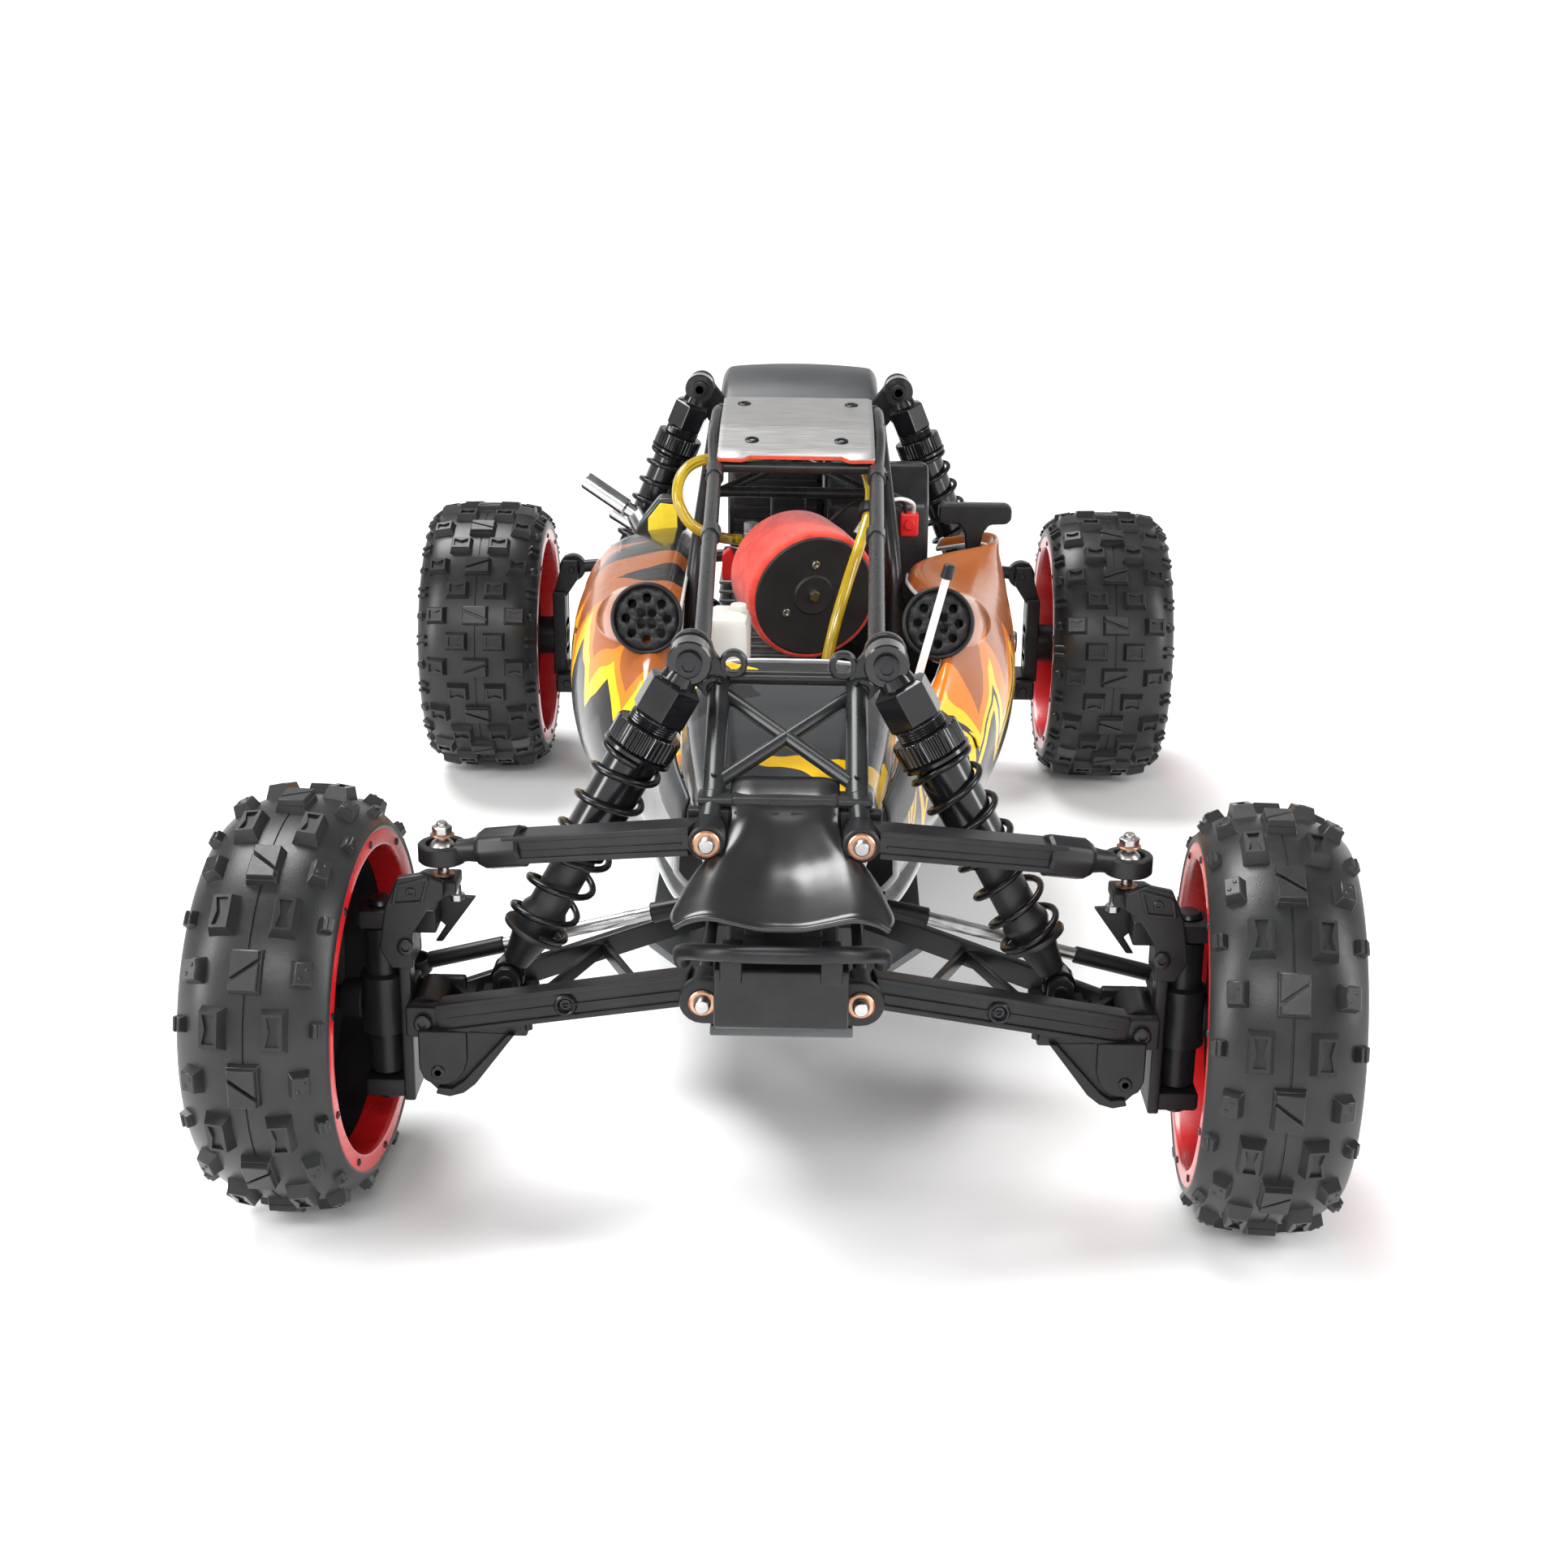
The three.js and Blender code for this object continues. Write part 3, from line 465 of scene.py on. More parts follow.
def printed(name, stops, direction, place_at, teeth, **sockets):
    """Flame print: bands of flat colour along a direction, drawn out into pointed tongues.

    place_at is (bands per metre, offset); teeth is (scale, height, lean of the tongues in degrees).
    """
    tree, shader, place = start_look(name)
    lean = stretch(tree, place, (1, 1, 1), (math.radians(teeth[2]), 0, 0))
    wave_values = {"Scale": teeth[0], "Distortion": 5.5, "Detail": 2.0, "Detail Scale": 1.1}
    tongues = node(tree, "ShaderNodeTexWave", {"Vector": lean}, wave_values, bands_direction="Y",
                   wave_profile="TRI").outputs["Fac"]
    across = node(tree, "ShaderNodeVectorMath", {0: place}, {1: direction}, operation="DOT_PRODUCT")
    field = scaled_sum(tree, {0: across.outputs["Value"]}, {1: place_at[0], 2: place_at[1]})
    drift = scaled_sum(tree, {0: noise(tree, place, 22, 2, 0.4), 2: field}, {1: 0.35})
    bent = scaled_sum(tree, {0: tongues, 2: drift}, {1: teeth[1]})
    tree.links.new(ramp(tree, bent, stops, smooth=False), shader.inputs["Base Color"])
    cloud = noise(tree, place, 40, 3)
    tree.links.new(span(tree, cloud, 0.14, 0.26), shader.inputs["Roughness"])
    relief(tree, shader, noise(tree, place, 55, 2), 0.45, 0.0008)
    set_sockets(shader, sockets)


def make_looks():
    nylon = {"dark": (0.008, 0.0083, 0.009), "light": (0.016, 0.0165, 0.018)}
    surface("nylon", **nylon, rough=0.36, grain=2600, strength=0.35, Specular_IOR_Level=0.28)
    surface("nylon_grey", (0.03, 0.032, 0.035), (0.045, 0.047, 0.05), 0.45, strength=0.35)
    surface("cage_tube", (0.01, 0.0105, 0.011), (0.02, 0.021, 0.022), 0.28, grain=1800, strength=0.2,
            Specular_IOR_Level=0.35)
    surface("gloss_black", (0.005, 0.005, 0.006), (0.011, 0.011, 0.012), 0.3, patch=35, grain=110,
            strength=0.2, depth=0.0004, Coat_Weight=0.2, Coat_Roughness=0.2)
    surface("roof_metal", (0.3, 0.295, 0.29), (0.42, 0.415, 0.41), 0.4, patch=900, grain=3500,
            strength=0.12, depth=0.00004, stretched=(0.06, 1, 1), Metallic=0.75)
    surface("edge_red", (0.5, 0.045, 0.02), (0.66, 0.08, 0.03), 0.45)
    surface("wing_plastic", (0.035, 0.037, 0.04), (0.055, 0.058, 0.062), 0.34, patch=28, strength=0.3)
    surface("chassis_alloy", (0.07, 0.075, 0.08), (0.12, 0.125, 0.13), 0.4, grain=1600,
            stretched=(1, 0.1, 1), Metallic=0.8)
    surface("engine_alloy", (0.28, 0.285, 0.29), (0.46, 0.47, 0.48), 0.45, patch=120, grain=1300,
            strength=0.6, depth=0.0002, Metallic=0.85)
    surface("shroud", (0.008, 0.008, 0.009), (0.016, 0.016, 0.018), 0.28, strength=0.3)
    surface("filter_foam", (0.62, 0.028, 0.018), (0.88, 0.085, 0.05), 0.85, patch=150, grain=1100,
            strength=0.9, depth=0.0006, Sheen_Weight=0.35, Sheen_Roughness=0.4)
    surface("filter_face", (0.009, 0.009, 0.01), (0.016, 0.016, 0.017), 0.5, patch=45, grain=900,
            strength=0.3)
    surface("tank", (0.72, 0.71, 0.66), (0.85, 0.84, 0.8), 0.32, patch=25, grain=500, strength=0.15,
            Subsurface_Weight=0.5, Subsurface_Scale=0.006)
    surface("fuel_hose", (0.62, 0.43, 0.015), (0.86, 0.64, 0.05), 0.16, patch=90, grain=400, strength=0.1,
            Transmission_Weight=0.55, IOR=1.42, Coat_Weight=0.5, Coat_Roughness=0.05)
    surface("polished", (0.45, 0.45, 0.455), (0.62, 0.62, 0.63), 0.22, patch=110, grain=1500, strength=0.12,
            Metallic=1.0)
    surface("shaft_steel", (0.36, 0.355, 0.35), (0.55, 0.545, 0.54), 0.32, patch=160, grain=1800,
            strength=0.15, Metallic=1.0)
    surface("copper", (0.42, 0.23, 0.14), (0.62, 0.38, 0.26), 0.34, patch=400, strength=0.2, Metallic=1.0)
    surface("screw_black", (0.012, 0.012, 0.014), (0.03, 0.03, 0.033), 0.28, Metallic=0.6)
    surface("rim_red", (0.55, 0.006, 0.008), (0.72, 0.012, 0.014), 0.28, patch=60, grain=900, strength=0.12,
            Coat_Weight=0.4, Coat_Roughness=0.12)
    surface("rim_black", (0.006, 0.006, 0.007), (0.012, 0.012, 0.013), 0.4)
    surface("shock_black", (0.006, 0.006, 0.007), (0.014, 0.014, 0.016), 0.2, patch=90, strength=0.12,
            Metallic=0.35, Coat_Weight=0.3)
    surface("spring_black", (0.008, 0.008, 0.009), (0.015, 0.015, 0.017), 0.24, strength=0.15, Metallic=0.4)
    surface("red_plastic", (0.6, 0.01, 0.012), (0.8, 0.02, 0.02), 0.3)
    surface("white_tube", (0.72, 0.72, 0.7), (0.86, 0.86, 0.84), 0.25, patch=80)
    surface("yellow_tag", (0.85, 0.6, 0.02), (0.95, 0.72, 0.04), 0.4, patch=200)
    surface("clear_edge", (0.62, 0.63, 0.63), (0.82, 0.83, 0.83), 0.14, patch=140, Transmission_Weight=0.2)
    surface("boot_rubber", (0.009, 0.009, 0.009), (0.016, 0.016, 0.017), 0.45, grain=1500, strength=0.3)
    tyre_look()
    shell_looks()


def tyre_look():
    """Satin rubber: greyer where it is dusty, with fine mould marks and a soft sheen."""
    tree, shader, place = start_look("tyre")
    dust = noise(tree, place, 26, 6, 0.6)
    fine = noise(tree, place, 1500, 3)
    speck = noise(tree, place, 260, 2)
    tree.links.new(ramp(tree, dust, [(0.3, (0.009, 0.0093, 0.0098)), (0.75, (0.021, 0.0216, 0.0225))]),
                   shader.inputs["Base Color"])
    tree.links.new(span(tree, speck, 0.27, 0.42), shader.inputs["Roughness"])
    relief(tree, shader, fine, 0.4, 0.00012)
    set_sockets(shader, {"Specular_IOR_Level": 0.36, "Sheen_Weight": 0.03, "Sheen_Roughness": 0.5})


def shell_looks():
    brown, orange, yellow = (0.34, 0.095, 0.02), (0.82, 0.2, 0.008), (0.93, 0.54, 0.004)
    black, grey = (0.010, 0.010, 0.011), (0.035, 0.037, 0.04)
    left = [(0.0, grey), (0.26, black), (0.46, yellow), (0.57, orange), (0.64, brown), (0.90, black)]
    right = [(0.0, grey), (0.28, black), (0.42, yellow), (0.50, black), (0.54, yellow), (0.61, orange),
             (0.72, brown)]
    hood = [(0.0, black), (0.31, yellow), (0.355, black), (0.45, grey), (0.76, yellow), (0.85, black)]
    gloss = {"Coat_Weight": 0.35, "Coat_Roughness": 0.08}
    printed("flames_left", left, (0.25, 0.12, 1.0), (8.0, -0.72), (8.0, 0.22, 35), **gloss)
    printed("flames_right", right, (-0.55, 0.2, 1.0), (8.0, -0.30), (9.0, 0.26, 35), **gloss)
    printed("hood_print", hood, (0.6, -0.8, 0.0), (4.0, -0.45), (9.0, 0.07, 0), **gloss)


# ---------- wheels ----------
def wheel_frame(name, s):
    """The wheel's own frame: X outboard along the axle, Z up."""
    spin = JOINTS[name]
    centre = Vector(spin["pos_m"]) / MM
    return aim(centre, centre + s * Vector(spin["axis"]))


def tread_section(half):
    """The carcass outline as close points, and a look-up of height and slope across it."""
    left = [(-x, r) for x, r in reversed(half[1:])]
    outline = smooth_path([(x, r, 0) for x, r in left + half], 4)
    points = [(p.x, p.y) for p in outline]

    def at(x):
        for (xa, ra), (xb, rb) in zip(points, points[1:]):
            if xa <= x <= xb and xb > xa:
                slope = (rb - ra) / (xb - xa)
                return ra + slope * (x - xa), slope
        return points[-1][1], 0.0

    return points, at


def tread_frame(m, at, x, angle):
    """A frame standing on the carcass: X across, Y around, Z outwards."""
    r, slope = at(x)
    out = polar(0, 1, angle)
    across = (Vector((1, 0, 0)) + out * slope).normalized()
    around = Vector((0, -math.sin(angle), math.cos(angle)))
    up = across.cross(around)
    if up.dot(out) < 0:
        up = -up
    local = Matrix((across, around, up)).transposed().to_4x4()
    return m @ Matrix.Translation(Vector((x, 0, 0)) + out * r) @ local


def rectangle(a, b):
    return [(-a, -b), (0, -b), (a, -b), (a, 0), (a, b), (0, b), (-a, b), (-a, 0)]


def waisted_lug(bm, f, width, length, height, turned=False):
    """A block whose top holds a sunk hourglass."""
    shape = bmesh.new()
    a, b = width / 2, length / 2
    draft = 0.16 * min(width, length)

    def loop(points, z):
        swap = [(v, u) for u, v in points] if turned else points
        return [shape.verts.new(f @ Vector((u, v, z))) for u, v in swap]

    if turned:
        a, b = b, a
    glass = rectangle(a - draft - 1.1, b - draft - 1.1)
    glass[3], glass[7] = (0.35 * (a - draft), 0), (-0.35 * (a - draft), 0)
    loops = [loop(rectangle(a, b), -LUG_SINK), loop(rectangle(a - draft, b - draft), height),
             loop(glass, height), loop(glass, height - 1.3)]
    for low, high in zip(loops, loops[1:]):
        join_rings(shape, low, high)
    p = loops[-1]
    shape.faces.new((p[0], p[1], p[2], p[3], p[7]))
    shape.faces.new((p[7], p[3], p[4], p[5], p[6]))
    shape.faces.new(loops[0])
    merge(bm, shape)


def plain_lug(bm, f, width, length, height, draft=0.8):
    a, b = width / 2, length / 2

    def ring(u, v, z):
        return [f @ Vector((x * u, y * v, z)) for x, y in ((-1, -1), (1, -1), (1, 1), (-1, 1))]

    prism(bm, ring(a, b, -LUG_SINK), ring(a - draft, b - draft, height), 0.35, 1)


def split_lug(bm, f, width, length, height, flip):
    """A centre block whose top is parted by a slanting groove."""
    a, b = width / 2, length / 2
    middle = height * 0.5
    plain_lug(bm, f, width, length, middle, 0.7)
    a, b = a - 0.75, b - 0.75
    gap = 0.75
    for end in (-1, 1):
        outline = [(-a, end * b), (a, end * b), (a, 0.5 * b + end * gap), (-a, -0.5 * b + end * gap)]
        low = [f @ Vector((flip * u, v, middle - 0.3)) for u, v in outline]
        high = [f @ Vector((flip * u * 0.92, v * 0.95, height)) for u, v in outline]
        prism(bm, low, high, 0.3, 1)


def carcass(bm, points, m, sides=96):
    """The smooth casing with its mould seam round the middle."""
    profile = []
    for (x, r), (ahead, _) in zip(points, points[1:] + points[-1:]):
        profile.append((x, r))
        if x < 0 <= ahead:
            profile += [(-0.5, r + 0.02), (-0.25, r - 0.55), (0.25, r - 0.55), (0.5, r + 0.02)]
    profile = [p for p in profile if abs(p[0]) > 0.45 or abs(p[0]) == 0.25]
    bead = points[-1][0]
    profile += [(bead, 65.8), (-bead, 65.8)]
    lathe(bm, profile, m, sides, loop=True)


def dimples(bm, f, height):
    """Two small studs on a shoulder block."""
    for u, v in ((-1.1, 1.6), (1.1, -1.6)):
        rod(bm, f @ Vector((u, v, height - 0.3)), f @ Vector((u, v, height + 0.45)), 0.95, 0.7, 8, 0.2)


def front_tyre(m):
    bm = bmesh.new()
    half = [(0, 80.4), (8, 80.1), (15, 78.9), (21, 76.4), (26, 72.8), (28.6, 69.6), (27.4, 67.0)]
    points, at = tread_section(half)
    carcass(bm, points, m)
    periods = 12
    for i in range(periods):
        first = -math.pi / 2 + 2 * math.pi * i / periods
        second = first + math.pi / periods
        split_lug(bm, tread_frame(m, at, 0, first), 12.6, 17.0, 4.5, 1 if i % 2 else -1)
        for e in (-1, 1):
            plain_lug(bm, tread_frame(m, at, 19.5 * e, first), 8.6, 10.6, 4.3, 1.3)
            dimples(bm, tread_frame(m, at, 19.5 * e, first), 4.3)
            waisted_lug(bm, tread_frame(m, at, 11.3 * e, second), 10.4, 16.4, 4.6)
            plain_lug(bm, tread_frame(m, at, 25.0 * e, second), 5.6, 6.6, 2.9, 0.6)
            plain_lug(bm, tread_frame(m, at, 25.0 * e, second), 1.6, 6.0, 3.6, 0.2)
    return bm


def rear_tyre(m):
    bm = bmesh.new()
    half = [(0, 80.9), (12, 80.8), (22, 80.1), (29, 78.0), (34, 74.6), (36.6, 70.6), (35.4, 67.0)]
    points, at = tread_section(half)
    carcass(bm, points, m)
    periods = 16
    for i in range(periods):
        first = -math.pi / 2 + 2 * math.pi * i / periods
        second = first + math.pi / periods
        split_lug(bm, tread_frame(m, at, 0, first), 16.6, 12.4, 4.0, 1 if i % 2 else -1)
        for e in (-1, 1):
            waisted_lug(bm, tread_frame(m, at, 23.6 * e, first), 13.2, 11.4, 4.0, turned=True)
            waisted_lug(bm, tread_frame(m, at, 11.4 * e, second), 14.6, 12.0, 4.0, turned=True)
            stud = tread_frame(m, at, 33.4 * e, first)
            rod(bm, stud @ Vector((0, 0, -1.5)), stud @ Vector((0, 0, 2.2)), 3.4, 2.6, 14, 0.5)
            for shift in (-2.6, 2.6):
                bar = tread_frame(m, at, 32.6 * e, second + shift / TYRE_R)
                plain_lug(bm, bar, 7.4, 2.7, 2.4, 0.4)
    return bm


def rim_rings(m, half):
    """Red bead rings with their inner lips."""
    bm = bmesh.new()
    for e in (-1, 1):
        face = half * e
        inner = face - 13 * e
        profile = [(face, 61.6), (face + 0.3 * e, 62.4), (face + 0.3 * e, 67.6), (face - 0.4 * e, 68.5),
                   (face - 2.6 * e, 68.5), (face - 3.4 * e, 67.4), (face - 5 * e, 65.2),
                   (inner, 64.6), (inner, 60.2), (face - 2 * e, 60.6)]
        lathe(bm, profile, m, 72, loop=True)
    return bm


def rim_core(m, half, web, bore, boss):
    """Black barrel and dished centre with six ribs, a hub and its nut."""
    bm = bmesh.new()
    barrel = [(-half + 11, 64.4), (half - 11, 64.4), (half - 11, 60.6), (web + 7, 59.4), (web + 5, 50),
              (web + 6, 16), (web + 12, 14), (web + 12, bore), (web - 10, bore), (web - 10, 12), (web, 15),
              (web + 1, 50), (web - 4, 59.4), (-half + 11, 60.6)]
    lathe(bm, barrel, m, 60, loop=True)
    for t in turns(6):
        a, b = m @ polar(web + 6.5, 13, t), m @ polar(web + 6.5, 58, t)
        beam(bm, a, b, 7, 5, 1.0, (11, 5), up=m.to_3x3() @ Vector((1, 0, 0)))
    rod(bm, m @ Vector((web + 11, 0, 0)), m @ Vector((web + 14.5, 0, 0)), boss, boss * 0.92, 6, 0.5)
    return bm


def rim_screws(m, half, count=10):
    bm = bmesh.new()
    axle = m.to_3x3() @ Vector((1, 0, 0))
    for e in (-1, 1):
        for t in turns(count, 0.5):
            screw(bm, m @ polar((half + 0.25) * e, 65, t), axle * e, 1.5, 0.7)
    return bm


def wheels():
    for label, s in SIDES:
        for end, half, web, make in (("front", 28, 6, front_tyre), ("rear", 36, 10, rear_tyre)):
            m = wheel_frame(f"{end}_spin_{label}", s)
            body = f"{end}_wheel_{label}"
            piece(f"{end}_tyre_skin_{label}", make(m), "tyre", body,
                  [f"{end}_tyre_{label}"], sharp=32)
            piece(f"{end}_bead_rings_{label}", rim_rings(m, half), "rim_red", body,
                  [f"{end}_rim_{label}"])
            core = rim_core(m, half, web, 5.5 if end == "front" else 5.1, 8.5)
            if end == "rear":
                rod(core, m @ Vector((-40, 0, 0)), m @ Vector((22, 0, 0)), 5, sides=20)
            piece(f"{end}_wheel_centre_{label}", core, "rim_black", body)
            piece(f"{end}_rim_screws_{label}", rim_screws(m, half), "screw_black", body)


# ---------- shocks ----------
def shock_line(s, pivots):
    """A look-up of places along a shock, its length and its direction."""
    a, b = Vector(side(s, pivots["top"])), Vector(side(s, pivots["foot"]))
    unit = (b - a).normalized()
    return (lambda d: a + unit * d), (b - a).length, unit


def shocks():
    for end, pivots, reach, stroke in (("front", FRONT, 88, 24.5), ("rear", REAR, 112, 35)):
        for label, s in SIDES:
            at, length, unit = shock_line(s, pivots)
            m = aim(at(0), at(1))
            shock_barrel(m, s, end, label, pivots, reach)
            seat = length - SEAT_TO_FOOT
            shock_foot(m, s, end, label, pivots, length, reach, stroke)
            coil = spring_coil(m, COIL_START + 0.2, seat - 0.4, round((seat - COIL_START) / COIL_PITCH))
            made = piece(f"{end}_coil_{label}", coil, "spring_black", f"{end}_shock_body_{label}",
                         [f"{end}_spring_{label}"], sharp=60)
            tuple(at(COIL_START) * MM)
            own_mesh(made)


def shock_barrel(m, s, end, label, pivots, reach):
    """Upper eye, ribbed cap, knurled collar and hollow barrel."""
    bm = bmesh.new()
    eye(bm, side(s, pivots["top"]), BACK, 8.8, 4.4, 11)
    profile = [(6, 0), (6, 6.6), (9.6, 7.4), (10, 10.2, 6), (11.2, 11.8, 6), (25, 11.8, 6), (26.2, 10.6, 6),
               (26.4, 9.7)]
    for i in range(4):
        profile += [(26.8 + i, 9.7), (27.2 + i, 10.1)]
    profile += [(30.8, 9.7), (31, 13.0, -40), (31.8, 13.5, -40), (39.4, 13.5, -40), (40.2, 13.0, -40),
                (40.3, 12.2), (41, 14.2), (42.4, 14.2), (42.8, 10.4), (reach - 2.4, 10.2),
                (reach - 2, 10.35), (reach, 10.3), (reach, 8.6), (38, 8.6), (38, 0)]
    lathe(bm, profile, m, 160)
    body = f"{end}_shock_body_{label}"
    piece(f"{end}_shock_barrel_{label}", bm, "shock_black", body, [body], sharp=35)


def shock_foot(m, s, end, label, pivots, length, reach, stroke):
    """Sleeve that slides inside the barrel, with its flare and spring seat, then the shaft and lower eye."""
    bm = bmesh.new()
    seat = length - SEAT_TO_FOOT
    flare = reach + stroke + 2
    shaft = f"{end}_shock_shaft_{label}"
    profile = [(reach - 4, 0), (reach - 4, 7.4), (reach - 3, 8), (flare, 8), (flare + 3, 9.6),
               (flare + 5.6, 9.4), (flare + 7.6, 8.3), (seat, 8), (seat, 12.5), (seat + 0.8, 12.9),
               (seat + 2, 12.6), (seat + 2.4, 8.4), (seat + 8, 7), (length - 6, 5.2), (length - 6, 0)]
    lathe(bm, profile, m, 48)
    piece(f"{end}_shock_boot_{label}", bm, "boot_rubber", shaft, sharp=50)
    steel = bmesh.new()
    eye(steel, side(s, pivots["foot"]), BACK, 6.8, 4.7, 8)
    rod(steel, m @ Vector((40 + stroke, 0, 0)), m @ Vector((length - 5.5, 0, 0)), 3.4)
    piece(f"{end}_shock_rod_{label}", steel, "shock_black", shaft, [shaft])


def spring_coil(m, start, stop, windings):
    """A wound wire whose end turns lie flat."""
    bm = bmesh.new()
    count = windings * 28
    path = []
    for i in range(count + 1):
        t = i / count
        rise = min(max((t * windings - 0.5) / (windings - 1), 0.0), 1.0)
        along = start + COIL_WIRE_R + (stop - start - 2 * COIL_WIRE_R) * rise
        path.append(m @ polar(along, COIL_R, 2 * math.pi * windings * t))
    tube(bm, path, COIL_WIRE_R, 10)
    return bm


# ---------- front suspension ----------
def front_lower_arm(s, label):
    """Arm with its two inner lugs, lattice, outer forks, shock ears and stone guard."""
    bm = bmesh.new()
    p = placer(s)
    px, pz = FRONT["lower"]
    a, b = p(px + 5, -355, pz), p(134, -338, 85.5)
    ring_y(bm, s, FRONT["lower"], -357.5, LUG_R, PIN_BORE, 14)
    ring_y(bm, s, FRONT["lower"], -277.5, LUG_R, PIN_BORE, 4.6)
    i_beam(bm, a, b, (7.4, 10.5), (9.6, 2.4), (5.4, -5.4))
    beam(bm, p(px + 9, -359.0, pz - 1), p(130, -342.3, 86.4), 0.6, 0.7, 0.15)
    beam(bm, p(px + 4.5, -278, pz - 2), p(134, -306, 80), 5, 10, 0.9)
    for u, v in (((52, -350, 100), (74, -288, 95)), ((74, -288, 95), (100, -342, 90)),
                 ((98, -343, 85), (124, -304, 80)), ((116, -340, 88), (132, -308, 83))):
        beam(bm, p(*u), p(*v), 3, 5.6, 0.7)
    box(bm, (128 * s, 147 * s), (FRONT_Y - 19, FRONT_Y - 12.5), (77, 90), 1.2)
    box(bm, (128 * s, 147 * s), (FRONT_Y + 12.5, FRONT_Y + 17.5), (76, 89), 1.2)
    rod(bm, p(140, FRONT_Y - 20.5, 84), p(140, FRONT_Y + 18.5, 84), PIN_R)
    fx, fy, fz = FRONT["foot"]
    box(bm, (99 * s, 121 * s), (-343, -301), (79.5, 85.6), 1.0)
    cheek = [(fx - 6, 84), (fx + 6, 84), (fx + 5, fz + 3), (fx + 2, fz + 6), (fx - 2, fz + 6),
             (fx - 5, fz + 3)]
    for near, far in ((-9.7, -6.2), (6.2, 9.7)):
        slab(bm, "y", flipped(s, cheek), fy + near, fy + far, 0.7)
    rod(bm, p(fx, fy - 10.5, fz), p(fx, fy + 10.5, fz), PIN_R)
    nylon_body("front_lower_arm", label, bm)
    guard(s, label)
    bolts = bmesh.new()
    ring_y(bolts, s, (83, 97.2), -351.8, 4.4, 3.0, 1.6)
    screw(bolts, p(83, -350.6, 97.2), FORWARD, 2.5, 0.6)
    screw(bolts, p(134, -344.6, 64.8), FORWARD, 2.7, 1.6)
    screw(bolts, p(fx, fy - 10.3, fz), FORWARD, 3.6, 1.4)
    screw(bolts, p(140, FRONT_Y - 20.3, 84), FORWARD, 3.4, 1.4)
    piece(f"front_lower_arm_screws_{label}", bolts, "screw_black", f"front_lower_arm_{label}")


def guard(s, label):
    """The stone guard under the arm's outer end: a sloped plate with a rounded block over it."""
    bm = bmesh.new()
    y = FRONT_Y - 22
    plate = [(104, 81), (141, 82), (141, 68), (139, 60.5), (135, 56.4), (130, 55.2), (125.5, 56.4), (121, 60)]
    slab(bm, "y", flipped(s, plate), y, y + 5, 0.8)
    lip = [(103.5, 81.6), (106.6, 81.6), (124.5, 61), (129, 58), (134, 58.6), (135.2, 55.8), (129.6, 54.6),
           (124.2, 56.2), (119.5, 60)]
    slab(bm, "y", flipped(s, lip), y - 2.6, y + 5.4, 0.6)
    block = [(122.5, 82), (141.5, 82), (141.5, 66), (139.6, 61.2), (135.6, 59), (131, 59), (127, 61),
             (124, 64.6), (122.5, 70)]
    slab(bm, "y", flipped(s, block), y - 1.7, y + 3, 0.9)
    piece(f"front_arm_guard_{label}", bm, "nylon", f"front_lower_arm_{label}")


def front_upper_arm(s, label):
    """Arm with its inner lug, its threaded end and the socket round the ball."""
    bm = bmesh.new()
    p = placer(s)
    ring_y(bm, s, FRONT["upper"], -357.5, LUG_R, PIN_BORE, 14)
    a, b = p(33, -356.6, 168.6), p(106, -330.8, 153.8)
    i_beam(bm, a, b, (11.4, 8.4), (13.4, 2.4), (4.6, -4.2))
    beam(bm, p(38, -361.3, 167.4), p(100, -339.1, 155), 0.6, 0.6, 0.15)
    end = [(0, 0), (0, 7.4, 8), (1.2, 8.5, 8), (16, 8.5, 8), (19.5, 6.6, 8), (20, 5.2), (25, 4.5),
           (29, 4.5), (29, 0)]
    lathe(bm, end, aim(p(99, -333.2, 155.3), p(123, -325, 150)), 48)
    bx, bz = FRONT["ball"]
    eye(bm, p(bx, FRONT_Y, bz), UP, 9.6, 6.4, 7.4)
    nylon_body("front_upper_arm", label, bm)


